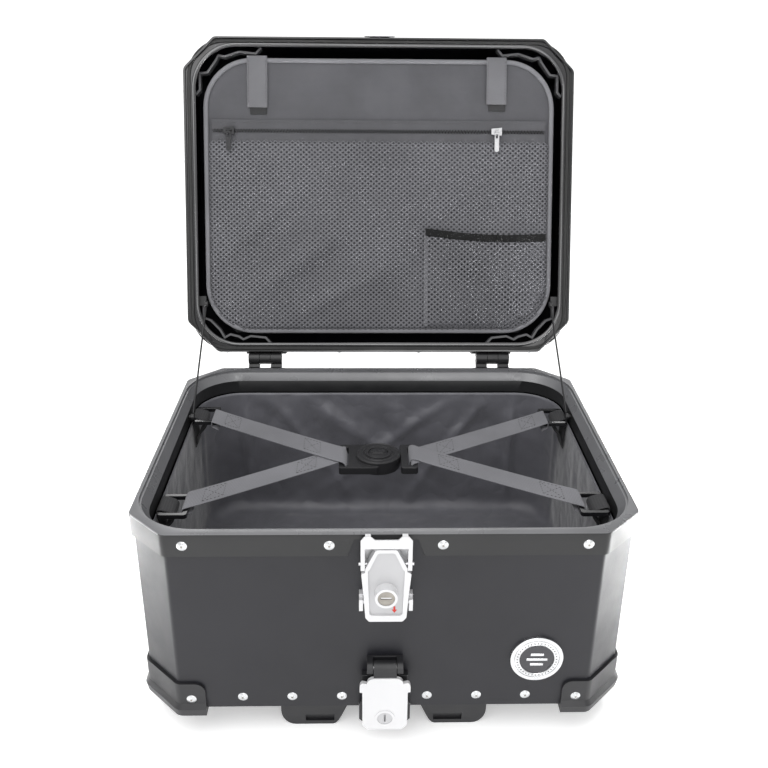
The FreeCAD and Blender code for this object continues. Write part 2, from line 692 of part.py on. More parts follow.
def strap(name):
    """One flat run of webbing."""
    start, end = strap_line(name)
    along = (end - start).normalize()
    across = V(-along.y, along.x, 0) * (STRAP_W / 2)
    low = strap_low(name)
    side = math.copysign(1, start.x)
    corners = [start + across, end + across, end - across, start - across]
    web = slab([(p.x, p.y) for p in corners], low, low + STRAP_T)
    beyond = BUCKLE[0] + side * (BUCKLE_HALF + 4.5)
    keep = box((-CASE_W, beyond) if side < 0 else (beyond, CASE_W), (-CASE_D, CASE_D), (0, RIM_Z))
    return web.common(keep)


def strap_rings():
    """Square rings that hold the webbing at the four corners."""
    rings = []
    for name, (x, y) in STRAP_ENDS.items():
        low = strap_low(name) - RING_DROP
        side = math.copysign(1, x)
        x = side * (RING_OUT - RING_X / 2)
        ring = round_box((x - RING_X / 2, x + RING_X / 2), (y - RING_Y / 2, y + RING_Y / 2),
                         (low, low + 4.2), 3)
        ring = less(ring, round_box((x - RING_X / 2 + 4, x + RING_X / 2 - 4),
                                    (y - RING_Y / 2 + 4, y + RING_Y / 2 - 4),
                                    (low - 1, low + 6), 1.5))
        rings.append(ring)
    return Part.makeCompound(rings)


def strap_anchors():
    """Webbing tabs that tie the rings to the side walls under the rim."""
    tabs = []
    for name, (x, y) in STRAP_ENDS.items():
        low = strap_low(name) - RING_DROP
        side = math.copysign(1, x)
        tab = box((189.6, 199.4), (y - 12, y + 12), (low - 3.2, low - 0.2))
        drop = box((196.4, 199.4), (y - 12, y + 12), (low - 30, low - 0.2))
        piece = fused(tab, drop)
        if side < 0:
            piece = mirrored(piece, X_AXIS)
        tabs.append(piece)
    return Part.makeCompound(tabs)


def buckle_half(side):
    """One moulded half of the cross buckle: a frame with a bar for the webbing."""
    x, y = BUCKLE
    z0 = STRAP_Z - 3.6
    z1 = STRAP_Z + 3.6
    inner = x + side * (21.6 if side > 0 else 0)
    outer = x + side * (BUCKLE_HALF + 4)
    span = sorted((inner, outer))
    frame = round_box(tuple(span), (y - 24, y + 24), (z0, z1), 3)
    slot_x = sorted((x + side * (BUCKLE_HALF - 5), x + side * BUCKLE_HALF))
    return less(frame, box(tuple(slot_x), (y - 18, y + 18), (z0 - 1, z1 + 1)))


def buckle_body():
    """Left half with the round release housing."""
    x, y = BUCKLE
    housing = rod((x, y, STRAP_Z - 6), Z_AXIS, 21.5, 12.5)
    collar = rod((x, y, STRAP_Z + 6.5), Z_AXIS, 12.5, 1.6)
    well = rod((x, y, STRAP_Z + 0.5), Z_AXIS, 9.0 + GAP, 12)
    return less(fused(buckle_half(-1), housing, collar), well)


def buckle_tongue():
    """Right half, snapped into the housing."""
    return less(buckle_half(1), rod((BUCKLE[0], BUCKLE[1], 0), Z_AXIS, 21.55, RIM_Z))


def buckle_button():
    """Release button with a raised grip."""
    x, y = BUCKLE
    button = rod((x, y, STRAP_Z + 3.4), Z_AXIS, 9.0, 4.4)
    grip = round_box((x - 7, x + 7), (y - 3, y + 3), (STRAP_Z + 7.8, STRAP_Z + 9.2), 2.9)
    return fused(button, grip)


# ---- front latch --------------------------------------------------------------------------------
SHELL_FRONT = -CASE_D / 2 + SHELL_INSET
EAR_X = (18.9, 22.2)     # the base's ears beside the lever
HOOK_TOP = RIM_Z + 3.4
CLAW_T = 2.6             # the claws reach this far down from the hook's top
LEG_X = (17.4, 20.8)     # the hook's legs beside the lever's upper part


def latch_base():
    """Back plate on the case wall with two ears for the lever's pin."""
    y, z = LATCH_PIVOT
    plate = box((-17.0, 17.0), (SHELL_FRONT - 2.0, SHELL_FRONT), (z + 7.0, RIM_Z - 24.0))
    strip = box((-EAR_X[1], EAR_X[1]), (SHELL_FRONT - 2.0, SHELL_FRONT), (z - 1.5, z + 7.5))
    back = box((-18.5, 18.5), (SHELL_FRONT - 2.0, SHELL_FRONT), (RIM_Z - 25.0, RIM_Z - 6.0))
    pieces = [plate, strip, back]
    for side in SIDES:
        x0, x1 = sorted((side * EAR_X[0], side * EAR_X[1]))
        pieces.append(box((x0, x1), (y, SHELL_FRONT), (z - 7.5, z + 7.5)))
        pieces.append(rod((x0, y, z), X_AXIS, 5.5, x1 - x0))
        pieces.append(box((x0, x1), (y - 5.5, SHELL_FRONT), (z - 5.5, z + 5.5)))
    return less(fused(*pieces), rod((-30, y, z), X_AXIS, 1.75, 60))


def latch_lever_pin():
    """Steel pin of the lever, tight in the ears."""
    y, z = LATCH_PIVOT
    return rod((-EAR_X[1], y, z), X_AXIS, 1.75, 2 * EAR_X[1])


def latch_lever():
    """Rocking lever: dished front, side cheeks, key collar and pin boss."""
    top = RIM_Z - 8.8
    waist = RIM_Z - 31.0
    bottom = RIM_Z - 79.3
    back = LATCH_Y + 8.5
    inner = LEG_X[0] - GAP
    outline = [(-14, bottom), (14, bottom), (17, bottom + 4), (18.4, LATCH_PIVOT[1] + 9),
               (20.4, waist), (inner, waist), (inner, top - 18), (8.5, top), (-8.5, top),
               (-inner, top - 18), (-inner, waist), (-20.4, waist), (-18.4, LATCH_PIVOT[1] + 9),
               (-17, bottom + 4)]
    body = front_slab(outline, LATCH_Y, back, 2.5)
    dish = front_slab([(-13.6, bottom + 6), (13.6, bottom + 6), (15.0, waist + 2), (13.6, top - 19),
                       (6.8, top - 3), (-6.8, top - 3), (-13.6, top - 19), (-15.0, waist + 2)],
                      LATCH_Y - 1, LATCH_Y + 1.6, 3.0)
    hollow = front_slab([(-14.6, bottom - 1), (14.6, bottom - 1), (15.4, waist), (13.6, top - 22),
                         (-13.6, top - 22), (-15.4, waist)], LATCH_Y + 3.4, back + 1)
    toe = box((-22, 22), (LATCH_Y + 3.4, back + 1), (bottom - 1, LATCH_PIVOT[1] - 9))
    collar = rod((0, LATCH_Y - 7.5, LATCH_KEY_Z), Y_AXIS, 9.2, 12.5)
    bore = rod((0, LATCH_Y - 9, LATCH_KEY_Z), Y_AXIS, 7.0 + FIT, 14)
    y, z = LATCH_PIVOT
    boss = rod((-15.6, y, z), X_AXIS, 4.2, 31.2)
    hook_y, hook_z = LATCH_HOOK_PIN
    lever = fused(less(body, dish, hollow, toe), collar, boss)
    ear_room = [box(tuple(sorted((s * 18.5, s * 24))), (y - 7, y + 9), (z - 8.2, z + 8.2))
                for s in SIDES]
    return less(lever, bore, rod((-30, y, z), X_AXIS, 1.75 + FIT, 60),
                rod((-30, hook_y, hook_z), X_AXIS, 1.5, 60), *ear_room)


def latch_hook_pins():
    """Short pins in the lever's cheeks that carry the hook."""
    y, z = LATCH_HOOK_PIN
    pins = []
    for side in SIDES:
        x0, x1 = sorted((side * 14.4, side * 22.5))
        pins.append(rod((x0, y, z), X_AXIS, 1.5, x1 - x0))
    return Part.makeCompound(pins)


def latch_hook():
    """Yoke over the lever's top: cross band, two legs and two claws for the lid's strike."""
    y, z = LATCH_HOOK_PIN
    top = HOOK_TOP
    front = (LATCH_Y, LATCH_Y + 1.3)
    low = RIM_Z - 7.8
    outline = [(-20.8, low), (20.8, low), (20.8, top - 3.6), (17.9, top), (12.4, top), (9.0, top - 3.2),
               (-9.0, top - 3.2), (-12.4, top), (-17.9, top), (-20.8, top - 3.6)]
    pieces = [front_slab(outline, *front)]
    for side in SIDES:
        x0, x1 = sorted((side * LEG_X[0], side * LEG_X[1]))
        pieces.append(box((x0, x1), (LATCH_Y, y + 3.6), (z, low + 2)))
        pieces.append(rod((x0, y, z), X_AXIS, 3.6, x1 - x0))
        pieces.append(box((x0, x1), (LATCH_Y, y), (z - 3.6, z)))
        claw = sorted((side * 12.6, side * 17.2))
        pieces.append(box(tuple(claw), (LATCH_Y, LATCH_Y + 5.3), (top - CLAW_T, top)))
    bores = rod((-30, y, z), X_AXIS, 1.5 + FIT, 60)
    web = box((-LEG_X[1], LEG_X[1]), (LATCH_Y, LATCH_Y + 8.5), (low, low + 2.4))
    return less(fused(*pieces, web), bores)


def latch_cylinder():
    """Lock core with its key slot."""
    core = rod((0, LATCH_Y - 6.9, LATCH_KEY_Z), Y_AXIS, 7.0, 11.5)
    return less(core, box((-4.6, 4.6), (LATCH_Y - 8, LATCH_Y - 4), (LATCH_KEY_Z - 1, LATCH_KEY_Z + 1)))


# ---- base lock ----------------------------------------------------------------------------------
LOCK_BARREL_R = 6.0


def base_lock_bracket():
    """Hinge block on the case wall above the lock's flap."""
    y, z = LOCK_PIVOT
    pieces = []
    for side in SIDES:
        x0, x1 = sorted((side * 10.2, side * 15.6))
        pieces.append(rod((x0, y, z), X_AXIS, LOCK_BARREL_R, x1 - x0))
        pieces.append(box((x0, x1), (y, SHELL_FRONT), (z - 6, z + 6)))
    pieces.append(box((-15.6, 15.6), (SHELL_FRONT - 2.0, SHELL_FRONT), (z - 6, z + 6)))
    return less(fused(*pieces), rod((-20, y, z), X_AXIS, 1.75, 40))


def base_lock_pin():
    """Steel pin of the flap."""
    y, z = LOCK_PIVOT
    return rod((-15.6, y, z), X_AXIS, 1.75, 31.2)


def base_lock_flap():
    """Flap with rounded shoulders, side ears, chamfered foot and its barrel."""
    y, z = LOCK_PIVOT
    top = RIM_Z - 136.6
    bottom = RIM_Z - 193.0
    shoulder = [(math.cos(math.radians(a)), math.sin(math.radians(a))) for a in range(0, 91, 15)]
    right = [(9.6 + 6.0 * c, top - 6 + 6 * s) for c, s in shoulder]
    ear = [(18.8 + 3.0 * c, RIM_Z - 146.0 + 5 * s) for c, s in shoulder[:-1]]
    half = [(14.5, bottom), (19.5, bottom + 5), (19.5, RIM_Z - 151.5), (21.8, RIM_Z - 151.5)]
    half += ear + [(15.6, RIM_Z - 142.0)] + right
    outline = half + [(-px, pz) for px, pz in reversed(half)]
    body = front_slab(outline, LOCK_Y, LOCK_Y + 10.0, 0.8)
    hollow = box((-17.2, 17.2), (LOCK_Y + 3.0, LOCK_Y + 11), (bottom + 2.4, RIM_Z - 151.0))
    behind = box((-30, 30), (LOCK_Y + 3.4, LOCK_Y + 11), (RIM_Z - 151.0, top + 1))
    barrel = rod((-9.8, y, z), X_AXIS, LOCK_BARREL_R, 19.6)
    tab = side_slab([(LOCK_Y + 1.0, top - 3), (LOCK_Y + 3.4, top - 3), (y, z - 4), (y - 4.5, z + 3),
                     (LOCK_Y + 1.2, top)], -9.8, 9.8)
    collar = rod((0, LOCK_Y - 0.8, LOCK_KEY_Z), Y_AXIS, 8.6, 8.0)
    bore = rod((0, LOCK_Y - 2, LOCK_KEY_Z), Y_AXIS, 6.5 + FIT, 12)
    hook_room = box((-LOCK_HOOK_X - 1, LOCK_HOOK_X + 1), (LOCK_Y + 7.4, LOCK_Y + 11),
                    (bottom - 1, bottom + 4))
    flap = fused(less(body, hollow, behind, hook_room), barrel, tab, collar)
    return less(flap, bore, rod((-20, y, z), X_AXIS, 1.75 + FIT, 40))


def base_lock_cylinder():
    """Lock core with an upright key slot."""
    core = rod((0, LOCK_Y - 0.4, LOCK_KEY_Z), Y_AXIS, 6.5, 7.4)
    return less(core, box((-0.8, 0.8), (LOCK_Y - 1, LOCK_Y + 2.5), (LOCK_KEY_Z - 4, LOCK_KEY_Z + 4)))


def base_lock_housing():
    """Guard behind the flap, hung from the case wall down in front of the plate."""
    low = RIM_Z - 197.0
    high = RIM_Z - 170.0
    back = LOCK_Y + 10.0 + GAP
    outline = [(-17, low), (17, low), (22.6, low + 6), (22.6, high - 4), (20, high), (-20, high),
               (-22.6, high - 4), (-22.6, low + 6)]
    plate = front_slab(outline, back, back + 3.0)
    spine = box((-20, 20), (back, SHELL_FRONT), (FLOOR_Z, RIM_Z - 142.0))
    room = box((-13, 13), (back - 1, SHELL_FRONT - 2.0), (FLOOR_Z - 20, RIM_Z - 146.0))
    passage = box((-9, 9), (back - 1, back + 4), (low + 4.5, FLOOR_Z + 1))
    return less(fused(plate, spine), room, passage)


LOCK_HOOK_X = 8.0        # half width of the hook behind the flap
LOCK_HOOK_TOP = 17.6     # top of the hook's nose at its tip


def base_lock_hook():
    """Steel hook behind the flap; its nose reaches under the plate's catch bar."""
    y, z = LOCK_PIVOT
    arm = box((-LOCK_HOOK_X, LOCK_HOOK_X), (LOCK_Y + 8.0, LOCK_Y + 10.0), (20.0, FLOOR_Z + 22))
    reach = z - LOCK_HOOK_TOP
    nose = less(rod((-LOCK_HOOK_X, y, z), X_AXIS, reach + 4.0, 2 * LOCK_HOOK_X),
                rod((-LOCK_HOOK_X - 1, y, z), X_AXIS, reach, 2 * LOCK_HOOK_X + 2))
    nose = nose.common(box((-20, 20), (LOCK_Y + 8.0, -157.0), (0, 40)))
    foot = box((-LOCK_HOOK_X, LOCK_HOOK_X), (LOCK_Y + 8.0, LOCK_Y + 10.0), (15.0, 21.0))
    foot = foot.common(rod((-20, y, z), X_AXIS, reach + 4.0, 40))
    block = box((-LOCK_HOOK_X, LOCK_HOOK_X), (LOCK_Y + 3.0, LOCK_Y + 9.0),
                (FLOOR_Z + 14, FLOOR_Z + 22))
    return fused(arm, foot, nose, block)


# ---- rack plate ---------------------------------------------------------------------------------
PAD_PLACES = [(s * 74.0, y) for s in SIDES for y in (-104.0, 92.0)]
WING_IN = 30.0           # inner side of a front wing
NECK = PLATE_FRONT + 40  # the tray starts behind the wings
PLATE_SHOULDER = 96.0    # its rear corners are cut from here
PLATE_WALL = 3.0
CATCH_BAR_Y = (-155.0, -146.0)


def wing_outline():
    """Front view of the right wing: curved up towards the lock and steep outside."""
    inner = [(WING_IN - 4 + 20 * t, PLATE_TOP * (0.5 + 0.5 * math.cos(math.pi * t)))
             for t in [i / 8 for i in range(9)]]
    outer = [(PLATE_W / 2 - 13 + 13 * math.sin(a), 16 - 16 * math.cos(a))
             for a in [math.radians(d) for d in range(0, 91, 15)]]
    return inner + outer + [(PLATE_W / 2, PLATE_TOP)]


def tray_outline(inset):
    """Plan of the tray, moved inwards by inset."""
    half = PLATE_W / 2 - inset
    shoulder = PLATE_SHOULDER - 0.4 * inset
    narrow = PLATE_W / 2 - 26 - 0.4 * inset
    return [(-half, NECK + inset), (half, NECK + inset), (half, shoulder), (narrow, PLATE_BACK - inset),
            (-narrow, PLATE_BACK - inset), (-half, shoulder)]


def mounting_plate():
    """Tray-shaped plate bolted to a rack: deck, walls, two front wings, catch bar and rear lip."""
    half = PLATE_W / 2
    tray = less(slab(tray_outline(0), 0, PLATE_TOP),
                slab(tray_outline(PLATE_WALL), PLATE_DECK, PLATE_TOP + 1))
    wings = []
    for side in SIDES:
        wing = front_slab([(side * px, pz) for px, pz in wing_outline()], PLATE_FRONT, NECK + PLATE_WALL)
        recess = box(tuple(sorted((side * 45, side * 71))), (PLATE_FRONT - 1, PLATE_FRONT + 3), (4, 11))
        pocket = box(tuple(sorted((side * 52, side * (half - 4)))), (PLATE_FRONT + 5, NECK - 3),
                     (18, PLATE_TOP + 1))
        wings.append(less(wing, recess, pocket))
    bar = box((-WING_IN - 12, WING_IN + 12), CATCH_BAR_Y, (19.5, 26.0))
    posts = [rod((x, y, 0), Z_AXIS, 13.0, PLATE_TOP) for x, y in PAD_PLACES]
    rib = box((-half + 1, half - 1), (-1.5, 1.5), (PLATE_DECK - 1, 16))
    lip = box((-58, 58), (PLATE_BACK - 12, PLATE_BACK - 1), (23.0, PLATE_TOP - 1.2))
    plate = fused(tray, *wings, bar, *posts, rib, lip)
    return less(plate, *[rack_slot(sx * SLOT_X / 2, sy * SLOT_Y / 2) for sx in SIDES for sy in ENDS])


def rack_slot(x, y):
    """One bolt slot, long way across the plate."""
    half = SLOT_LENGTH / 2 - SLOT_R
    ends = [rod((x + s * half, y, -1), Z_AXIS, SLOT_R, PLATE_DECK + 2) for s in SIDES]
    return fused(box((x - half, x + half), (y - SLOT_R, y + SLOT_R), (-1, PLATE_DECK + 1)), *ends)


def plate_pads():
    """Rubber pads that the case floor rests on."""
    return Part.makeCompound([rod((x, y, PLATE_TOP), Z_AXIS, 11.0, FLOOR_Z - PLATE_TOP)
                              for x, y in PAD_PLACES])


def floor_catches():
    """Two steel hooks under the floor that reach below the plate's rear lip."""
    hooks = []
    for side in SIDES:
        x0, x1 = sorted((side * 24.0, side * 48.0))
        foot = box((x0, x1), (70, 104), (FLOOR_Z - 2.5, FLOOR_Z))
        leg = box((x0, x1), (101.5, 104), (15.5, FLOOR_Z))
        nose = box((x0, x1), (101.5, 115), (15.5, 19.0))
        hooks.append(fused(foot, leg, nose))
    return Part.makeCompound(hooks)


# ---- build --------------------------------------------------------------------------------------
def case_nodes():
    """Everything fixed to the case."""
    nodes = {"case_shell": case_shell(), "floor_pan": floor_pan(), "rim_frame": rim_frame(),
             "rim_rivets": rim_rivets(), "floor_rivets": floor_rivets(), "liner": liner(),
             "badge": badge(), "hinge_pins": hinge_pins(),
             "cable_brackets_case": cable_brackets_case(), "strap_rings": strap_rings(),
             "strap_anchors": strap_anchors(), "buckle_body": buckle_body(),
             "buckle_tongue": buckle_tongue(), "latch_base": latch_base(),
             "latch_lever_pin": latch_lever_pin(), "base_lock_bracket": base_lock_bracket(),
             "base_lock_pin": base_lock_pin(), "base_lock_housing": base_lock_housing(),
             "mounting_plate": mounting_plate(), "plate_pads": plate_pads(),
             "floor_catches": floor_catches()}
    for end, end_name in zip(ENDS, ("front", "rear")):
        for side, side_name in zip(SIDES, ("left", "right")):
            nodes[f"corner_guard_{end_name}_{side_name}"] = corner_guard(side, end)
            nodes[f"strap_{end_name}_{side_name}"] = strap(f"{end_name}_{side_name}")
    for side, side_name in zip(SIDES, ("left", "right")):
        nodes[f"hinge_leaf_case_{side_name}"] = hinge_leaf_case(side)
        nodes[f"check_cable_{side_name}"] = check_cable(side)
    return nodes


def lid_nodes():
    """Everything that swings with the lid."""
    nodes = {"lid_shell": lid_shell(), "lid_frame": lid_frame(), "lid_gasket": lid_gasket(),
             "lid_rivets": lid_rivets(), "lid_brackets_rear": lid_brackets(REAR_BRACKET),
             "lid_brackets_front": lid_brackets(FRONT_BRACKET), "lid_strike": lid_strike(),
             "organiser_panel": organiser_panel(), "mesh_pocket": mesh_pocket(),
             "side_pocket": side_pocket(), "zip_tape": zip_tape(), "fastening_tabs": fastening_tabs(),
             "cable_brackets_lid": cable_brackets_lid()}
    for side, side_name in zip(SIDES, ("left", "right")):
        nodes[f"hinge_leaf_lid_{side_name}"] = hinge_leaf_lid(side)
    for name, x in SLIDERS.items():
        nodes[f"zip_slider_{name}"] = zip_slider(x)
        nodes[f"zip_pull_{name}"] = zip_pull(x)
    return nodes


def lock_nodes():
    """The moving pieces of the latch, the base lock and the buckle."""
    return {"latch_lever": latch_lever(), "latch_hook": latch_hook(),
            "latch_hook_pins": latch_hook_pins(), "latch_cylinder": latch_cylinder(),
            "base_lock_flap": base_lock_flap(), "base_lock_cylinder": base_lock_cylinder(),
            "base_lock_hook": base_lock_hook(), "buckle_button": buckle_button()}


def main():
    """Write one STEP file per node."""
    os.makedirs("parts", exist_ok=True)
    for nodes in (case_nodes(), lid_nodes(), lock_nodes()):
        for name, shape in nodes.items():
            shape.exportStep(f"parts/{name}.step")


main()
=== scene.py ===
import json  # noqa: E402
import logging  # noqa: E402
import math  # noqa: E402
from dataclasses import dataclass, field  # noqa: E402
from enum import Enum  # noqa: E402

import bmesh  # noqa: E402
import bpy  # noqa: E402
import numpy as np  # noqa: E402
from mathutils import Matrix, Vector  # noqa: E402

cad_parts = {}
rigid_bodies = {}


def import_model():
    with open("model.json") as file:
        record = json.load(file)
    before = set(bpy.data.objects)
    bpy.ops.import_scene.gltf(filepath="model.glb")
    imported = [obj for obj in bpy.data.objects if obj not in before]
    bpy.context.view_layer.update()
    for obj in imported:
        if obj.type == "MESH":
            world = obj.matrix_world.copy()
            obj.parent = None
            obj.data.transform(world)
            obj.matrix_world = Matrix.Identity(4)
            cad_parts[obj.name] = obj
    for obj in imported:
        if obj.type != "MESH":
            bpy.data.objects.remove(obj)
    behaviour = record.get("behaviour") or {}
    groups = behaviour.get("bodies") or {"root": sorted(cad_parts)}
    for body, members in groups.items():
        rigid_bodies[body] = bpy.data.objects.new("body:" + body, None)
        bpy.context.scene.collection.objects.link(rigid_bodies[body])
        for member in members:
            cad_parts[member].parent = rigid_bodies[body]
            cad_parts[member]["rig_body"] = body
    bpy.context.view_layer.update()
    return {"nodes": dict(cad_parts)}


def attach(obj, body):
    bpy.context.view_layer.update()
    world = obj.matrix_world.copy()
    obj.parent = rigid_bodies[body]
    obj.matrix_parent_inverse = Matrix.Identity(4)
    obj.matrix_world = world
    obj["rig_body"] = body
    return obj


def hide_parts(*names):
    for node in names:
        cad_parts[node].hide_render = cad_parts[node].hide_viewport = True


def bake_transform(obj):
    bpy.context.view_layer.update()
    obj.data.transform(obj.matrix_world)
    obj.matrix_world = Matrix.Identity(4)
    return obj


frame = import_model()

log = logging.getLogger("top_case")

MM = 0.001
RIM_Z = 0.214
HINGE = (0.184, 0.221)
LID_OPEN = math.radians(108.5)
SIDES = (-1, 1)
X_AXIS, Y_AXIS, Z_AXIS = np.eye(3)


class Slot(Enum):
    """The record's material slots."""

    POWDER_COAT = "powder_coat"
    BLACK_STEEL = "black_steel"
    BLACK_PLASTIC = "black_plastic"
    GREY_PLASTIC = "grey_plastic"
    SILVER_CAST = "silver_cast"
    BARE_STEEL = "bare_steel"
    BADGE_METAL = "badge_metal"
    RUBBER = "rubber"
    LINING = "lining"
    WEBBING = "webbing"
    ORGANISER_CLOTH = "organiser_cloth"
    NETTING = "netting"
    ZIP_METAL = "zip_metal"


# ---- finishes -------------------------------------------------------------------------------------
class NodeTree:
    """A new material's node tree, with a short call for each node that the finishes use."""

    def __init__(self, name: str) -> None:
        """Starts a material with its one principled shader."""
        self.material = bpy.data.materials.new(name)
        self.material.use_nodes = True
        self.tree = self.material.node_tree
        self.shader = self.tree.nodes["Principled BSDF"]

    def add(self, kind: str, **settings: object) -> bpy.types.Node:
        """Adds one node and sets its properties."""
        node = self.tree.nodes.new(kind)
        for name, value in settings.items():
            setattr(node, name, value)
        return node

    def link(self, source: bpy.types.NodeSocket, target: bpy.types.NodeSocket) -> None:
        """Joins an output to an input."""
        self.tree.links.new(source, target)

    def coordinates(self, kind: str) -> bpy.types.NodeSocket:
        """The Object or UV output of a texture coordinate node."""
        return self.add("ShaderNodeTexCoord").outputs[kind]

    def math(self, operation: str, first: object, second: object = 0.0) -> bpy.types.NodeSocket:
        """One sum on two sockets or numbers.

        Args:
            operation: the Math node's operation.
            first: a socket or a number.
            second: a socket or a number.

        Returns:
            The socket with the result.
        """
        node = self.add("ShaderNodeMath", operation=operation)
        for place, value in enumerate((first, second)):
            if isinstance(value, bpy.types.NodeSocket):
                self.link(value, node.inputs[place])
            else:
                node.inputs[place].default_value = value
        return node.outputs[0]

    def noise(self, vector: bpy.types.NodeSocket, size: float, detail: float = 3.0) -> bpy.types.NodeSocket:
        """Cloudy noise whose patches are about the given size.

        Args:
            vector: the coordinates, in metres.
            size: the size of one patch, in metres.
            detail: octaves of finer noise.

        Returns:
            The noise's value, from 0 to 1.
        """
        node = self.add("ShaderNodeTexNoise")
        node.inputs["Scale"].default_value = 1.0 / size
        node.inputs["Detail"].default_value = detail
        self.link(vector, node.inputs["Vector"])
        return node.outputs["Fac"]

    def span(self, value: bpy.types.NodeSocket, low: float, high: float) -> bpy.types.NodeSocket:
        """Noise from 0.3 to 0.7 stretched to low and high, held inside them.

        Args:
            value: the noise.
            low: what 0.3 becomes.
            high: what 0.7 becomes.

        Returns:
            The stretched value.
        """
        node = self.add("ShaderNodeMapRange", clamp=True)
        self.link(value, node.inputs["Value"])
        for name, number in (("From Min", 0.3), ("From Max", 0.7), ("To Min", low), ("To Max", high)):
            node.inputs[name].default_value = number
        return node.outputs["Result"]

    def blend(self, share: bpy.types.NodeSocket, first: tuple, second: tuple) -> bpy.types.NodeSocket:
        """A colour between two, by a share from 0 to 1."""
        node = self.add("ShaderNodeMix", data_type="RGBA")
        self.link(share, node.inputs["Factor"])
        node.inputs["A"].default_value = (*first, 1.0)
        node.inputs["B"].default_value = (*second, 1.0)
        return next(o for o in node.outputs if o.type == "RGBA")

    def bump(self, height: bpy.types.NodeSocket, relief: float) -> None:
        """Gives the shader a relief of that height, in metres, on top of any it has."""
        node = self.add("ShaderNodeBump")
        node.inputs["Strength"].default_value = 1.0
        node.inputs["Distance"].default_value = relief
        self.link(height, node.inputs["Height"])
        normal = self.shader.inputs["Normal"]
        if normal.is_linked:
            self.link(normal.links[0].from_socket, node.inputs["Normal"])
        self.link(node.outputs["Normal"], normal)

    def set(self, **values: object) -> None:
        """Sets the shader's own sockets, with _ for a space in their names."""
        for name, value in values.items():
            self.shader.inputs[name.replace("_", " ")].default_value = value


_made: dict[str, bpy.types.Material] = {}


@dataclass(frozen=True)
class Finish:
    """A hard finish: clouded colour, clouded gloss and a fine grain."""

    name: str
    slot: Slot
    colour: tuple[float, float, float]
    roughness: float
    metallic: float = 0.0
    cloud: float = 0.06       # size of the patches of colour, in metres
    cloud_depth: float = 0.12  # how much lighter or darker they are
    gloss_depth: float = 0.06
    grain: float = 0.0012     # size of the grain, in metres
    relief: float = 0.00004   # height of the grain, in metres
    specular: float = 0.5
    sheen: float = 0.0
    coat: float = 0.0

    def material(self) -> bpy.types.Material:
        """The finish's one material, made the first time it is asked for."""
        if self.name not in _made:
            tree = NodeTree(self.name)
            self.build(tree)
            _made[self.name] = tree.material
        return _made[self.name]

    def build(self, tree: NodeTree) -> None:
        """Fills the node tree."""
        self.base(tree, tree.coordinates("Object"))

    def base(self, tree: NodeTree, place: bpy.types.NodeSocket) -> None:
        """Colour, gloss and grain that every finish has.

        Args:
            tree: the material's node tree.
            place: coordinates in metres.
        """
        tree.set(Metallic=self.metallic, Specular_IOR_Level=self.specular, Sheen_Weight=self.sheen,
                 Coat_Weight=self.coat, Sheen_Roughness=0.45, Coat_Roughness=0.12)
        tree.material.diffuse_color = (*self.colour, 1.0)
        patches = tree.noise(place, self.cloud)
        darker = tuple(c * (1 - self.cloud_depth) for c in self.colour)
        lighter = tuple(min(1.0, c * (1 + self.cloud_depth)) for c in self.colour)
        tree.link(tree.blend(tree.span(patches, 0.0, 1.0), darker, lighter), tree.shader.inputs["Base Color"])
        low, high = self.roughness - self.gloss_depth, self.roughness + self.gloss_depth
        wear = tree.noise(place, self.cloud * 0.37, 5.0)
        tree.link(tree.span(wear, low, high), tree.shader.inputs["Roughness"])
        tree.bump(tree.noise(place, self.grain, 2.0), self.relief)


@dataclass(frozen=True)
class Brushed(Finish):
    """Metal with fine lines drawn along x."""

    def build(self, tree: NodeTree) -> None:
        """The base, and noise stretched twenty times along x."""
        place = tree.coordinates("Object")
        self.base(tree, place)
        stretch = tree.add("ShaderNodeMapping")
        stretch.inputs["Scale"].default_value = (0.05, 1.0, 1.0)
        tree.link(place, stretch.inputs["Vector"])
        tree.bump(tree.noise(stretch.outputs["Vector"], 0.0006, 2.0), 0.00002)


@dataclass(frozen=True)
class Weave(Finish):
    """Plain weave that follows the piece's UV map, in metres.

    The height is the sine along the cloth times the sine across it, so threads rise and dip in turn, and a
    rib of half that height runs along the cloth. The same height also scales the colour: painted shade in the
    gaps between threads and painted light on their crowns.
    """

    pitch: float = 0.0012     # from thread to thread along the cloth
    across: float = 0.0012    # the same across it
    thread: float = 0.0002    # how far a thread stands up
    crease: float = 0.0       # relief of soft creases
    # painted shade: how much darker the colour is painted in the gaps between threads, and lighter on the
    # crowns
    painted_gap_shade: float = 0.25       # how much darker the gaps between threads are

    def build(self, tree: NodeTree) -> None:
        """The base, the threads, creases where the cloth is loose, and painted shade between the threads."""
        place = tree.coordinates("Object")
        self.base(tree, place)
        split = tree.add("ShaderNodeSeparateXYZ")
        tree.link(tree.coordinates("UV"), split.inputs[0])
        along = tree.math("SINE", tree.math("MULTIPLY", split.outputs[0], 2 * math.pi / self.pitch))
        cross = tree.math("SINE", tree.math("MULTIPLY", split.outputs[1], 2 * math.pi / self.across))
        woven = tree.math("MULTIPLY", along, cross)
        height = tree.math("ADD", tree.math("MULTIPLY", woven, 0.35), tree.math("MULTIPLY", cross, 0.15))
        height = tree.math("ADD", height, 0.5)
        tree.bump(height, self.thread)
        if self.crease:
            folds = tree.math("ABSOLUTE", tree.math("SUBTRACT", tree.noise(place, 0.05, 2.0), 0.5))
            tree.bump(folds, self.crease)
        # Painted shade and light: the colour is multiplied by the threads' height, darker in the gaps and
        # lighter on the crowns.
        colour = tree.shader.inputs["Base Color"]
        before = colour.links[0].from_socket
        dim = tree.add("ShaderNodeMix", data_type="RGBA", blend_type="MULTIPLY")
        tree.link(before, dim.inputs["A"])
        dim.inputs["Factor"].default_value = 1.0
        level = tree.math("ADD", tree.math("MULTIPLY", height, 2 * self.painted_gap_shade), 1.0 - self.painted_gap_shade)
        tree.link(level, dim.inputs["B"])
        tree.link(next(o for o in dim.outputs if o.type == "RGBA"), colour)


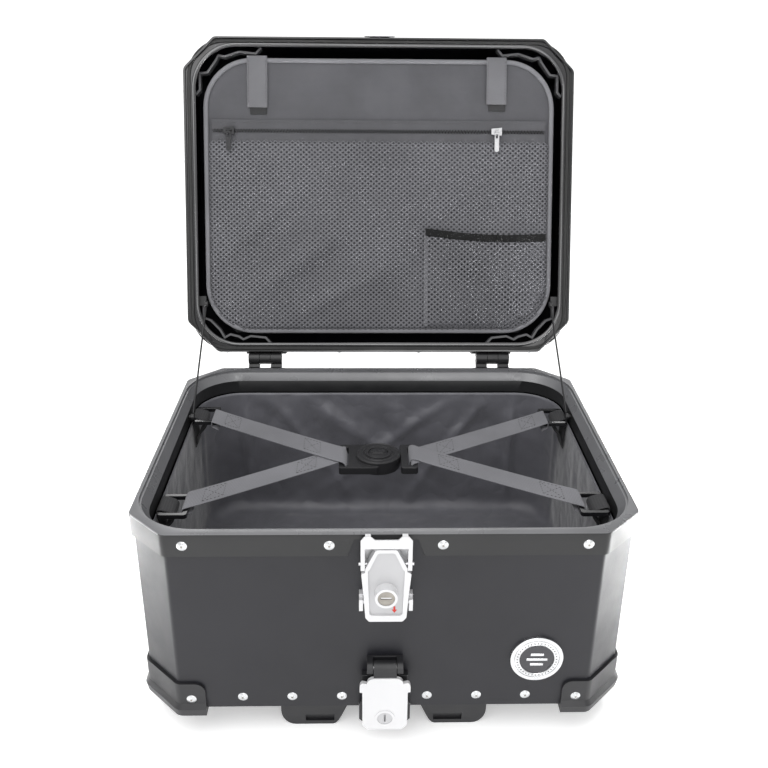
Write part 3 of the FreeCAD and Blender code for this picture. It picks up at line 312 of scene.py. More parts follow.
POWDER_COAT = Finish("powder_coat_black", Slot.POWDER_COAT, (0.0085, 0.0085, 0.0120), 0.42, grain=0.0011,
                     relief=0.00005, cloud=0.09, specular=0.5)
MOULDED = Finish("moulded_black", Slot.BLACK_PLASTIC, (0.0120, 0.0120, 0.0140), 0.46, grain=0.0008,
                 relief=0.00004, specular=0.6)
SATIN_RIM = Finish("satin_black_rim", Slot.BLACK_PLASTIC, (0.015, 0.0152, 0.016), 0.36, grain=0.0009,
                   relief=0.00003)
# Painted sheen: the black rim's lip and throat are coloured light grey to stand in for the sheen of light on
# them.
PAINTED_SHEEN_LIP = Finish("rim_painted_sheen", Slot.BLACK_PLASTIC, (0.14, 0.141, 0.148), 0.3, grain=0.0009,
                   relief=0.00002, specular=0.9)
GLOSS_BEAD = Finish("gloss_bead", Slot.BLACK_PLASTIC, (0.012, 0.012, 0.014), 0.18, grain=0.001,
                    relief=0.00001, specular=1.0, coat=1.0)
GLOSS_BLACK = Finish("gloss_black", Slot.BLACK_PLASTIC, (0.007, 0.007, 0.008), 0.2, grain=0.001,
                     relief=0.00001, coat=0.4)
TOOTHED = Finish("toothed_grey", Slot.BLACK_PLASTIC, (0.085, 0.085, 0.09), 0.45, grain=0.0008)
BLACK_STEEL = Finish("black_steel", Slot.BLACK_STEEL, (0.014, 0.014, 0.015), 0.4, relief=0.00003)
BUCKLE_GREY = Finish("buckle_grey", Slot.GREY_PLASTIC, (0.017, 0.017, 0.0185), 0.38, grain=0.0007)
SILVER = Finish("silver_casting", Slot.SILVER_CAST, (0.68, 0.68, 0.69), 0.34, metallic=0.3, cloud_depth=0.03,
                grain=0.0006, relief=0.00002, coat=0.2)
SILVER_PANEL = Finish("silver_recess", Slot.SILVER_CAST, (0.50, 0.50, 0.51), 0.5, metallic=0.3,
                      cloud_depth=0.04, grain=0.0005, relief=0.00003)
STEEL = Brushed("bright_steel", Slot.BARE_STEEL, (0.62, 0.62, 0.63), 0.3, metallic=1.0, cloud=0.01)
KEY_METAL = Brushed("key_disc", Slot.BARE_STEEL, (0.33, 0.31, 0.28), 0.34, metallic=1.0, cloud=0.004)
RIVET = Finish("rivet_aluminium", Slot.BARE_STEEL, (0.72, 0.73, 0.74), 0.3, metallic=1.0, cloud=0.006,
               grain=0.0005, relief=0.00001)
BADGE_SILVER = Brushed("badge_silver", Slot.BADGE_METAL, (0.78, 0.79, 0.8), 0.24, metallic=1.0, cloud=0.01)
BADGE_BLACK = Finish("badge_black", Slot.BADGE_METAL, (0.035, 0.035, 0.04), 0.3, relief=0.00001, coat=0.3)
RUBBER = Finish("soft_rubber", Slot.RUBBER, (0.012, 0.012, 0.012), 0.55, grain=0.0006, relief=0.00004)
ZIP_METAL = Finish("zip_plating", Slot.ZIP_METAL, (0.5, 0.5, 0.51), 0.32, metallic=1.0, cloud=0.004,
                   relief=0.00001)
ZIP_BLACK = Finish("zip_black", Slot.ZIP_METAL, (0.02, 0.02, 0.022), 0.35, metallic=0.4, cloud=0.004,
                   relief=0.00001)
SIGNAL_RED = Finish("signal_red", Slot.SILVER_CAST, (0.62, 0.03, 0.02), 0.45, relief=0.00001, cloud=0.004)
NYLON = Weave("lining_nylon", Slot.LINING, (0.115, 0.115, 0.130), 0.4, gloss_depth=0.08, sheen=0.45,
              pitch=0.0009, across=0.0009, thread=0.00005, crease=0.006, cloud=0.03, painted_gap_shade=0.12)
WEBBING = Weave("grey_webbing", Slot.WEBBING, (0.156, 0.156, 0.170), 0.7, pitch=0.0024, across=0.0016,
                thread=0.00028, sheen=0.2, painted_gap_shade=0.3, relief=0.00002)
DARK_WEBBING = Weave("black_webbing", Slot.WEBBING, (0.022, 0.022, 0.024), 0.68, pitch=0.0024, across=0.0016,
                     thread=0.00025, sheen=0.1)
CLOTH = Weave("charcoal_cloth", Slot.ORGANISER_CLOTH, (0.070, 0.070, 0.078), 0.74, pitch=0.0013,
              across=0.0013, thread=0.00012, sheen=0.25, crease=0.0022, cloud=0.05)
BINDING = Weave("charcoal_binding", Slot.ORGANISER_CLOTH, (0.196, 0.196, 0.211), 0.72, pitch=0.0016,
                across=0.0011, thread=0.0002, sheen=0.25)
ZIP_TAPE = Weave("zip_tape_cloth", Slot.ORGANISER_CLOTH, (0.068, 0.068, 0.075), 0.72, pitch=0.0016,
                 across=0.0011, thread=0.0002, sheen=0.2)
TAB_CLOTH = Weave("grey_tab", Slot.ORGANISER_CLOTH, (0.137, 0.137, 0.147), 0.75, pitch=0.0013, across=0.0013,
                  thread=0.0002, sheen=0.2)
FUZZ = Finish("hook_patch", Slot.ORGANISER_CLOTH, (0.03, 0.03, 0.031), 0.9, grain=0.0006, relief=0.0003)
THREAD = Finish("sewing_thread", Slot.ORGANISER_CLOTH, (0.06, 0.06, 0.063), 0.6, grain=0.0004)
# Its patches of lighter and darker colour are partly random tone and partly painted shade of the net's folds.
NET = Finish("charcoal_net", Slot.NETTING, (0.113, 0.113, 0.124), 0.6, grain=0.0005, relief=0.00008,
             cloud=0.06, cloud_depth=0.12)
ELASTIC = Weave("black_elastic", Slot.NETTING, (0.006, 0.006, 0.0065), 0.75, pitch=0.0018, across=0.0012,
                thread=0.0003, specular=0.3)


# ---- surfaces -------------------------------------------------------------------------------------
def distances(points: np.ndarray, closed: bool) -> np.ndarray:
    """How far along a line each point is, with one more at the end of a closed line."""
    line = np.vstack([points, points[:1]]) if closed else points
    return np.concatenate([[0], np.cumsum(np.linalg.norm(np.diff(line, axis=0), axis=1))])


def lifted(plan: np.ndarray, height: float) -> np.ndarray:
    """Points in plan, (n, 2), given one height."""
    return np.column_stack([plan, np.full(len(plan), height)])


def directions(path: np.ndarray) -> np.ndarray:
    """The unit direction of a path at each of its points."""
    tangent = np.gradient(path, axis=0)
    return tangent / np.linalg.norm(tangent, axis=1, keepdims=True)


def place_on_lid(points: np.ndarray) -> np.ndarray:
    """Turns points of the closed lid to the open lid.

    The lid turns about the hinge line, which runs along x, back by the opening angle. A point's third number
    is its height above the rim's top plane.

    Args:
        points: an array whose last axis is x, y and height.

    Returns:
        The points at rest, in the same shape.
    """
    y = points[..., 1] - HINGE[0]
    z = points[..., 2] + RIM_Z - HINGE[1]
    c, s = math.cos(-LID_OPEN), math.sin(-LID_OPEN)
    return np.stack([points[..., 0], HINGE[0] + y * c - z * s, HINGE[1] + y * s + z * c], -1)


def rounded_loop(width: float, depth: float, radius: float, count: int) -> tuple[np.ndarray, np.ndarray]:
    """A rectangle with round corners, walked anticlockwise in equal steps.

    Four quarter circles are joined by straight sides, and the loop is resampled by its length.

    Args:
        width: size along x.
        depth: size along y.
        radius: corner radius.
        count: number of points.

    Returns:
        The points and the outward normals, both (count, 2).
    """
    turn = np.linspace(0, math.pi / 2, 24)
    angles = (turn[None, :] + np.arange(4)[:, None] * math.pi / 2).ravel()
    centre = np.array([[1, 1], [-1, 1], [-1, -1], [1, -1]]) * [width / 2 - radius, depth / 2 - radius]
    normal = np.stack([np.cos(angles), np.sin(angles)], 1)
    corner = np.repeat(centre, 24, axis=0) + radius * normal
    loop = np.vstack([corner, corner[:1]])
    normals = np.vstack([normal, normal[:1]])
    length = distances(loop, False)
    at = np.linspace(0, length[-1], count, endpoint=False)
    points = np.stack([np.interp(at, length, loop[:, k]) for k in range(2)], 1)
    outward = np.stack([np.interp(at, length, normals[:, k]) for k in range(2)], 1)
    return points, outward / np.linalg.norm(outward, axis=1, keepdims=True)


def open_path(points: np.ndarray, step: float) -> np.ndarray:
    """The same path in equal steps.

    Args:
        points: the path's corners, (n, 3).
        step: about how long a step is.

    Returns:
        The path's points, evenly spaced.
    """
    length = distances(points, False)
    at = np.linspace(0, length[-1], max(2, int(length[-1] / step) + 1))
    return np.stack([np.interp(at, length, points[:, k]) for k in range(points.shape[1])], 1)


@dataclass
class Sheet:
    """A grid of points, which becomes a mesh of quads."""

    points: np.ndarray                 # (rows, columns, 3)
    wrap_rows: bool = False
    wrap_columns: bool = False
    uv: np.ndarray | None = None       # (rows + wrap, columns + wrap, 2)
    caps: bool = False                 # closes the first and last row with one face each

    def faces(self) -> tuple[np.ndarray, np.ndarray]:
        """The quads, as indices of points and as indices of UV places."""
        rows, columns = self.points.shape[:2]
        r = np.arange(rows if self.wrap_rows else rows - 1)[:, None]
        c = np.arange(columns if self.wrap_columns else columns - 1)[None, :]
        corners = ((r, c), (r, c + 1), (r + 1, c + 1), (r + 1, c))
        quads = np.stack([(a % rows) * columns + (b % columns) for a, b in corners], -1).reshape(-1, 4)
        wide = columns + int(self.wrap_columns)
        places = np.stack([a * wide + b for a, b in corners], -1).reshape(-1, 4)
        return quads, places

    def mesh(self, name: str) -> bpy.types.Mesh:
        """The mesh of the grid, with its UV map in metres."""
        quads, places = self.faces()
        faces = quads.tolist()
        columns = self.points.shape[1]
        if self.caps:
            last = (self.points.shape[0] - 1) * columns
            faces += [list(range(columns))[::-1], list(range(last, last + columns))]
        mesh = bpy.data.meshes.new(name)
        mesh.from_pydata(self.points.reshape(-1, 3).tolist(), [], faces)
        if self.uv is not None:
            flat = self.uv.reshape(-1, 2)[places.ravel()]
            extra = len(mesh.loops) - len(flat)
            flat = np.vstack([flat, np.zeros((extra, 2))])
            layer = mesh.uv_layers.new(name="UVMap")
            layer.data.foreach_set("uv", flat.astype(np.float32).ravel())
        return mesh


def sweep(path: np.ndarray, side: np.ndarray, up: np.ndarray, profile: np.ndarray, closed: bool = False,
          lid: bool = False) -> Sheet:
    """A profile carried along a path.

    Each point is the path's point, plus the profile's first number along side, plus its second along up.

    Args:
        path: (n, 3) points.
        side: (n, 3) or (3,) directions.
        up: (n, 3) or (3,) directions.
        profile: (m, 2) points of a closed outline.
        closed: whether the path meets itself.
        lid: whether the path is given for the closed lid.

    Returns:
        The swept sheet, with its caps when the path is open.
    """
    side = np.broadcast_to(side, path.shape)
    up = np.broadcast_to(up, path.shape)
    points = path[:, None] + profile[None, :, :1] * side[:, None] + profile[None, :, 1:] * up[:, None]
    along = distances(path, closed)
    around = distances(profile, True)
    uv = np.stack(np.meshgrid(along, around, indexing="ij"), -1)
    if lid:
        points = place_on_lid(points)
    return Sheet(points, wrap_rows=closed, wrap_columns=True, uv=uv, caps=not closed)


def oval(width: float, height: float, count: int, power: float = 2.0) -> np.ndarray:
    """A closed oval outline: cosine and sine raised to 2 over the power, so a higher power is squarer.

    Args:
        width: size along the first axis.
        height: size along the second axis.
        count: number of points.
        power: 2 for an ellipse, 4 for a rounded rectangle.

    Returns:
        The (count, 2) outline.
    """
    angle = np.linspace(0, 2 * math.pi, count, endpoint=False)
    shape = np.stack([np.cos(angle), np.sin(angle)], 1)
    shape = np.sign(shape) * np.abs(shape) ** (2.0 / power)
    return shape * [width / 2, height / 2]


def outward(mesh: bpy.types.Mesh) -> None:
    """Merges doubles, then turns every face of a closed mesh outwards."""
    shape = bmesh.new()
    shape.from_mesh(mesh)
    bmesh.ops.remove_doubles(shape, verts=shape.verts, dist=2e-6)
    bmesh.ops.recalc_face_normals(shape, faces=shape.faces)
    shape.to_mesh(mesh)
    shape.free()


def piece(name: str, mesh: bpy.types.Mesh, finish: Finish, body: str | None, smooth: float = 40.0,
          closed: bool = True) -> bpy.types.Object:
    """An object for a mesh, with its finish and body.

    Args:
        name: the piece's name.
        mesh: its mesh, in place.
        finish: what it is made of.
        body: the body that it rides on, or None for a blended piece.
        smooth: edges sharper than this many degrees stay sharp.
        closed: whether the mesh is closed and can be turned outwards.

    Returns:
        The object.
    """
    if closed:
        outward(mesh)
    mesh.polygons.foreach_set("use_smooth", np.ones(len(mesh.polygons), bool))
    mesh.set_sharp_from_angle(angle=math.radians(smooth))
    mesh.materials.append(finish.material())
    thing = bpy.data.objects.new(name, mesh)
    bpy.context.scene.collection.objects.link(thing)
    if body:
        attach(thing, body)
    log.info("%s: %d faces on %s", name, len(mesh.polygons), body)
    return thing


def ease_edges(thing: bpy.types.Object, width: float, segments: int = 2) -> bpy.types.Modifier:
    """Rounds the edges of a piece by a width in metres."""
    edge = thing.modifiers.new("eased_edges", "BEVEL")
    edge.width = width
    edge.segments = segments
    return edge


def thicken(thing: bpy.types.Object, thickness: float) -> None:
    """Gives a sheet its thickness, half to each side."""
    skin = thing.modifiers.new("cloth", "SOLIDIFY")
    skin.thickness = thickness
    skin.offset = 0.0


def merged(name: str, parts: list[bpy.types.Mesh]) -> bpy.types.Mesh:
    """One mesh from several."""
    shape = bmesh.new()
    for part in parts:
        shape.from_mesh(part)
        bpy.data.meshes.remove(part)
    mesh = bpy.data.meshes.new(name)
    shape.to_mesh(mesh)
    shape.free()
    return mesh


def joined(name: str, sheets: list[Sheet]) -> bpy.types.Mesh:
    """One mesh from several grids."""
    return merged(name, [one.mesh(name) for one in sheets])


def cells(name: str, points: np.ndarray, one: np.ndarray) -> bpy.types.Mesh:
    """One mesh from many small shapes with the same faces.

    Args:
        name: the mesh's name.
        points: (shapes, corners, 3) points.
        one: the faces of one shape, as indices of its corners.

    Returns:
        The mesh.
    """
    count, corners = points.shape[:2]
    faces = (one[None] + corners * np.arange(count)[:, None, None]).reshape(-1, one.shape[1])
    mesh = bpy.data.meshes.new(name)
    mesh.from_pydata(points.reshape(-1, 3).tolist(), [], faces.tolist())
    return mesh


def stitches(path: np.ndarray, normal: np.ndarray, length: float = 0.0024, gap: float = 0.0013,
             width: float = 0.0007, lid: bool = False) -> bpy.types.Mesh:
    """A row of small raised stitches.

    Each stitch is three rings of four points, the middle one wider and higher than the two ends. All are
    worked out at once from the points where the stitches start and end.

    Args:
        path: the seam's line.
        normal: the way the stitches stand up.
        length: one stitch.
        gap: from stitch to stitch.
        width: a stitch's width.
        lid: whether the path is given for the closed lid.

    Returns:
        The stitches' mesh.
    """
    total = distances(path, False)
    starts = np.arange(0, total[-1] - length, length + gap)
    at = np.stack([starts, starts + length * 0.5, starts + length], 1)
    point = np.stack([np.interp(at, total, path[:, k]) for k in range(3)], -1)
    along = point[:, 2] - point[:, 0]
    along /= np.linalg.norm(along, axis=1, keepdims=True)
    up = np.broadcast_to(normal, along.shape)
    side = np.cross(along, up)
    low, high, half = -0.0002, 0.00035, width / 2
    rings = [(point[:, 0], low, half * 0.5, 0.0), (point[:, 1], low, half, high),
             (point[:, 2], low, half * 0.5, 0.0)]
    corners = []
    for centre, base, wide, top in rings:
        for s, h in ((-1, base), (1, base), (0.6, top), (-0.6, top)):
            corners.append(centre + side * (wide * s) + up * h)
    corners = np.stack(corners, 1)
    if lid:
        corners = place_on_lid(corners)
    one = np.array([(0, 1, 5, 4), (1, 2, 6, 5), (2, 3, 7, 6), (3, 0, 4, 7), (4, 5, 9, 8), (5, 6, 10, 9),
                    (6, 7, 11, 10), (7, 4, 8, 11), (3, 2, 1, 0), (8, 9, 10, 11)])
    return cells("stitches", corners, one)


def blocks(centre: np.ndarray, axes: np.ndarray, half: tuple | np.ndarray,
           lid: bool = False) -> bpy.types.Mesh:
    """Many small blocks in one mesh: each centre plus and minus its three axes.

    Args:
        centre: (n, 3) middles.
        axes: (n, 3, 3) or (3, 3) unit axes, one row each.
        half: (n, 3) or (3,) half sizes along those axes.
        lid: whether the middles are given for the closed lid.

    Returns:
        The mesh.
    """
    axes = np.broadcast_to(axes, (len(centre), 3, 3))
    half = np.broadcast_to(half, (len(centre), 3))
    corner = np.array([(i, j, k) for i in (-1, 1) for j in (-1, 1) for k in (-1, 1)], float)
    points = centre[:, None] + np.einsum("ck,nk,nkx->ncx", corner, half, axes)
    box = np.array([(0, 1, 3, 2), (4, 6, 7, 5), (0, 4, 5, 1), (2, 3, 7, 6), (0, 2, 6, 4), (1, 5, 7, 3)])
    return cells("blocks", place_on_lid(points) if lid else points, box)


def turned(profile: list[tuple[float, float]], centre: tuple[float, float, float], axis: np.ndarray,
           first: np.ndarray, count: int = 48) -> Sheet:
    """A profile of radius and height turned round an axis.

    A point is the centre, plus the height along the axis, plus the radius along a direction that turns. A
    profile that starts on the axis is capped there, and one that doesn't is a closed ring.

    Args:
        profile: radius and height of each point.
        centre: a point on the axis.
        axis: unit axis.
        first: a unit direction square to it.
        count: steps round the axis.

    Returns:
        The turned sheet.
    """
    outline = np.array(profile)
    angle = np.linspace(0, 2 * math.pi, count, endpoint=False)[None, :, None]
    second = np.cross(axis, first)
    spoke = np.cos(angle) * first + np.sin(angle) * second
    points = np.array(centre) + outline[:, None, 1:] * axis + outline[:, None, :1] * spoke
    ring = profile[0][0] > 0.001
    return Sheet(points, wrap_columns=True, wrap_rows=ring, caps=not ring)


# ---- studio ---------------------------------------------------------------------------------------
@dataclass
class Studio:
    """Camera, pale floor and soft lights."""

    eye: tuple[float, float, float] = (-0.01885, -0.77789, 0.61374)
    pitch: float = math.radians(23.87)
    heading: float = math.radians(1.48)
    roll: float = 0.01
    lens: float = 41.77
    floor_size: float = 400.0
    surroundings: float = 0.74
    floor_glow: float = 0.33
    beam: float = math.radians(45)    # of the two lamps that shine down on the floor beside the part
    sky_light: float = 1.05           # an even light over the whole floor, from high on the left
    sky_softness: float = math.radians(75)
    sky_turn: tuple[float, float, float] = (math.radians(28), math.radians(-14), 0.0)
    # each lamp's name, place, the point that it faces, its size in metres and its power in watts
    lamps: tuple = (("key_light", (-0.7, -1.1, 1.9), (0.0, 0.0, 0.25), 1.3, 8.5),
                    ("rim_light", (0.0, 1.9, 1.7), (0.0, 0.0, 0.25), 1.5, 17.0),
                    ("front_light", (0.3, -2.3, 1.05), (0.0, 0.0, 0.2), 0.8, 7.0),
                    ("left_light", (-0.8, 0.1, 1.0), (-0.8, 0.1, 0.0), 0.5, 13.0),
                    ("right_light", (0.8, 0.1, 1.0), (0.8, 0.1, 0.0), 0.5, 24.0))

    def camera(self) -> None:
        """Puts the camera at its eye, turned by heading, pitch and roll.

        Forward leans down by the pitch, right stays level and up is their cross product. The roll then turns
        right and up about forward.
        """
        cp, sp = math.cos(self.pitch), math.sin(self.pitch)
        ch, sh = math.cos(self.heading), math.sin(self.heading)
        ahead = Vector((sh * cp, ch * cp, -sp))
        right = Vector((ch, -sh, 0))
        up = right.cross(ahead)
        cr, sr = math.cos(self.roll), math.sin(self.roll)
        right, up = right * cr + up * sr, up * cr - right * sr
        data = bpy.data.cameras.new("camera")
        data.lens = self.lens
        data.sensor_width = 36.0
        data.clip_end = 1000.0
        view = bpy.data.objects.new("camera", data)
        turn = Matrix((right, up, -ahead)).transposed().to_4x4()
        view.matrix_world = Matrix.Translation(self.eye) @ turn
        bpy.context.scene.collection.objects.link(view)
        bpy.context.scene.camera = view

    def floor(self) -> None:
        """A large pale floor under the part."""
        half = self.floor_size / 2
        mesh = bpy.data.meshes.new("floor")
        mesh.from_pydata([(-half, -half, 0), (half, -half, 0), (half, half, 0), (-half, half, 0)], [],
                         [(0, 1, 2, 3)])
        tree = NodeTree("studio_floor")
        tree.set(Base_Color=(0.93, 0.93, 0.93, 1.0), Roughness=0.85, Emission_Color=(1.0, 1.0, 1.0, 1.0),
                 Emission_Strength=self.floor_glow)
        mesh.materials.append(tree.material)
        thing = bpy.data.objects.new("floor", mesh)
        bpy.context.scene.collection.objects.link(thing)

    def light(self) -> None:
        """White surroundings, soft lamps that face the part, and two that light the floor beside it.

        A lamp whose target is on the floor is one of those two, and its spread is the beam's.
        """
        scene = bpy.context.scene
        scene.view_settings.view_transform = "Standard"
        world = bpy.data.worlds.new("studio")
        world.use_nodes = True
        world.node_tree.nodes["Background"].inputs[0].default_value = (1, 1, 1, 1)
        world.node_tree.nodes["Background"].inputs[1].default_value = self.surroundings
        scene.world = world
        sky = bpy.data.lights.new("sky_light", "SUN")
        sky.energy = self.sky_light
        sky.angle = self.sky_softness
        above = bpy.data.objects.new("sky_light", sky)
        above.rotation_euler = self.sky_turn
        scene.collection.objects.link(above)
        for name, place, target, size, power in self.lamps:
            data = bpy.data.lights.new(name, "AREA")
            data.size = size
            data.energy = power
            data.spread = math.pi if target[2] > 0 else self.beam
            lamp = bpy.data.objects.new(name, data)
            lamp.location = place
            lamp.rotation_euler = (Vector(target) - Vector(place)).to_track_quat("-Z", "Y").to_euler()
            scene.collection.objects.link(lamp)

    def build(self) -> None:
        """Camera first, then floor and lights."""
        self.camera()
        self.floor()
        self.light()


# ---- hard parts -----------------------------------------------------------------------------------
@dataclass
class HardParts:
    """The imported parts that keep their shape: each gets its finish, and most get eased edges."""

    flat: float = math.radians(1.0)       # neighbours flatter than this become one face
    sharp: float = 30.0                   # edges sharper than this are eased, in degrees
    eased: dict[str, tuple[Finish, float]] = field(default_factory=lambda: {
        "case_shell": (POWDER_COAT, 0.6), "floor_pan": (POWDER_COAT, 0.5), "rim_frame": (SATIN_RIM, 0.9),
        "corner_guard_front_left": (MOULDED, 0.0), "corner_guard_front_right": (MOULDED, 0.0),
        "corner_guard_rear_left": (MOULDED, 0.0), "corner_guard_rear_right": (MOULDED, 0.0),
        "badge": (BADGE_SILVER, 0.4), "hinge_leaf_case_left": (BLACK_STEEL, 0.3),
        "hinge_leaf_case_right": (BLACK_STEEL, 0.3), "hinge_leaf_lid_left": (BLACK_STEEL, 0.3),
        "hinge_leaf_lid_right": (BLACK_STEEL, 0.3), "hinge_pins": (STEEL, 0.2),
        "cable_brackets_case": (BLACK_STEEL, 0.2), "cable_brackets_lid": (BLACK_STEEL, 0.2),
        "strap_rings": (GLOSS_BLACK, 0.8), "buckle_body": (BUCKLE_GREY, 0.7),
        "buckle_tongue": (BUCKLE_GREY, 0.7), "buckle_button": (BUCKLE_GREY, 0.5),
        "latch_base": (SILVER, 0.4), "latch_lever_pin": (STEEL, 0.1),
        "latch_lever": (SILVER, 0.5), "latch_hook_pins": (STEEL, 0.1), "latch_hook": (SILVER, 0.4),
        "latch_cylinder": (KEY_METAL, 0.15), "base_lock_bracket": (MOULDED, 0.4),
        "base_lock_pin": (STEEL, 0.1), "base_lock_flap": (SILVER, 0.5),
        "base_lock_cylinder": (SILVER_PANEL, 0.15),
        "base_lock_hook": (STEEL, 0.3), "base_lock_housing": (MOULDED, 0.5), "mounting_plate": (MOULDED, 0.7),
        "floor_catches": (MOULDED, 0.4), "lid_shell": (POWDER_COAT, 0.7), "lid_frame": (GLOSS_BLACK, 0.5),
        "lid_brackets_rear": (TOOTHED, 0.3), "lid_brackets_front": (TOOTHED, 0.3), "lid_strike": (STEEL, 0.3),
        "zip_slider_left": (ZIP_BLACK, 0.2), "zip_slider_right": (ZIP_METAL, 0.2),
        "zip_pull_left": (ZIP_BLACK, 0.2), "zip_pull_right": (ZIP_METAL, 0.2),
        "plate_pads": (RUBBER, 0.4), "rim_rivets": (RIVET, 0.0), "floor_rivets": (RIVET, 0.0),
        "lid_rivets": (RIVET, 0.0)})
    repainted: tuple = (
        # the rim's throat and lip get the painted sheen: light grey colour in place of light on the black
        # plastic
        ("rim_frame", PAINTED_SHEEN_LIP, (-0.2116, -0.1690, RIM_Z - 0.0107), (0.2116, 0.1690, 1)),    # its throat
        ("rim_frame", PAINTED_SHEEN_LIP, (-1, -1, RIM_Z - 0.0009), (1, 1, 1)),                        # its lip
        ("latch_lever", SILVER_PANEL, (-0.016, -0.1812, 0.130), (0.016, -0.1806, 0.206)),     # its dish
        ("latch_base", SILVER_PANEL, (-1, -1, 0.19), (1, 1, 1)),                              # its ears
        ("base_lock_housing", SILVER, (-1, -1, -1), (1, 1, 0.0323)),                          # its foot
        ("base_lock_flap", MOULDED, (-0.0101, -0.2, 0.0778), (0.0101, 0, 1)))                 # its barrel

    def ease(self, node: str, finish: Finish, width: float) -> None:
        """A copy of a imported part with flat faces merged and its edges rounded.

        Args:
            node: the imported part.
            finish: its finish.
            width: how far an edge is rounded, in millimetres.
        """
        source = frame["nodes"][node]
        shape = bmesh.new()
        shape.from_mesh(source.data)
        bmesh.ops.remove_doubles(shape, verts=shape.verts, dist=1e-6)
        if width:
            bmesh.ops.dissolve_limit(shape, angle_limit=self.flat, verts=shape.verts, edges=shape.edges)
        mesh = bpy.data.meshes.new(node + "_skin")
        shape.to_mesh(mesh)
        shape.free()
        for name in ("custom_normal", "sharp_face", "sharp_edge"):
            if name in mesh.attributes:
                mesh.attributes.remove(mesh.attributes[name])
        body = source["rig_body"]
        thing = piece(node + "_skin", mesh, finish, body, smooth=self.sharp, closed=False)
        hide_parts(node)
        if width:
            edge = ease_edges(thing, width * MM)
            edge.limit_method = "ANGLE"
            edge.angle_limit = math.radians(self.sharp)
            edge.harden_normals = True
            edge.use_clamp_overlap = True

    def repaint(self, name: str, finish: Finish, low: tuple, high: tuple) -> None:
        """Gives the faces whose middles lie in a box a second finish.

        Args:
            name: the piece.
            finish: the second finish.
            low: the box's lowest corner.
            high: the box's highest corner.
        """
        mesh = bpy.data.objects[name].data
        if finish.material().name not in mesh.materials:
            mesh.materials.append(finish.material())
        centre = np.zeros(len(mesh.polygons) * 3, np.float32)
        mesh.polygons.foreach_get("center", centre)
        centre = centre.reshape(-1, 3)
        within = ((centre > low) & (centre < high)).all(1)
        index = np.zeros(len(mesh.polygons), np.int32)
        mesh.polygons.foreach_get("material_index", index)
        index[within] = len(mesh.materials) - 1
        mesh.polygons.foreach_set("material_index", index)

    def build(self) -> None:
        """Dresses every part in the list, then gives some faces of five skins their second finish."""
        for node, (finish, width) in self.eased.items():
            self.ease(node, finish, width)
        for node, finish, low, high in self.repainted:
            self.repaint(node + "_skin", finish, low, high)


# ---- check cables ---------------------------------------------------------------------------------
@dataclass
class CheckCables:
    """Two stranded steel cables that stop the lid."""

    low: tuple[float, float, float] = (0.199, 0.07877, 0.20046)
    high: tuple[float, float, float] = (0.199, 0.19813, 0.27844)
    diameter: float = 0.002
    strands: int = 6
    lay: float = 0.012        # length of one turn of the strands

    def path(self, side: int) -> np.ndarray:
        """The centreline: points read from a NURBS spline through the cable's route."""
        low = np.array(self.low) * [side, 1, 1]
        high = np.array(self.high) * [side, 1, 1]
        route = low + (high - low) * np.linspace(0, 1, 5)[:, None]
        data = bpy.data.curves.new("cable_route", "CURVE")
        data.dimensions = "3D"
        data.resolution_u = 24
        spline = data.splines.new("NURBS")
        spline.points.add(len(route) - 1)
        spline.points.foreach_set("co", np.hstack([route, np.ones((len(route), 1))]).ravel())
        spline.order_u = 3
        spline.use_endpoint_u = True
        holder = bpy.data.objects.new("cable_route", data)
        line = bpy.data.meshes.new_from_object(holder)
        points = np.array([v.co for v in line.vertices], float)
        bpy.data.objects.remove(holder)
        bpy.data.meshes.remove(line)
        return open_path(points, 0.0012)

    def build(self) -> None:
        """Six round strands show as lobes that turn round the centreline.

        The radius swells and shrinks with the angle less the turn so far, six times round.
        """
        for side, name in ((-1, "left"), (1, "right")):
            path = self.path(side)
            along = (path[-1] - path[0]) / np.linalg.norm(path[-1] - path[0])
            up = np.cross(along, X_AXIS)
            across = np.cross(up, along)
            travel = distances(path, False)[:, None]
            angle = np.linspace(0, 2 * math.pi, 36, endpoint=False)[None, :]
            lobe = np.abs(np.cos(self.strands / 2 * (angle - 2 * math.pi * travel / self.lay)))
            radius = (self.diameter / 2 * (0.86 + 0.16 * lobe))[..., None]
            ring = radius * (np.cos(angle)[..., None] * across + np.sin(angle)[..., None] * up)
            grid = Sheet(path[:, None] + ring, wrap_columns=True, caps=True)
            thing = piece(f"cable_{name}", grid.mesh(f"cable_{name}"), BLACK_STEEL, None)
            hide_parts(f"check_cable_{name}")
            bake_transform(thing)


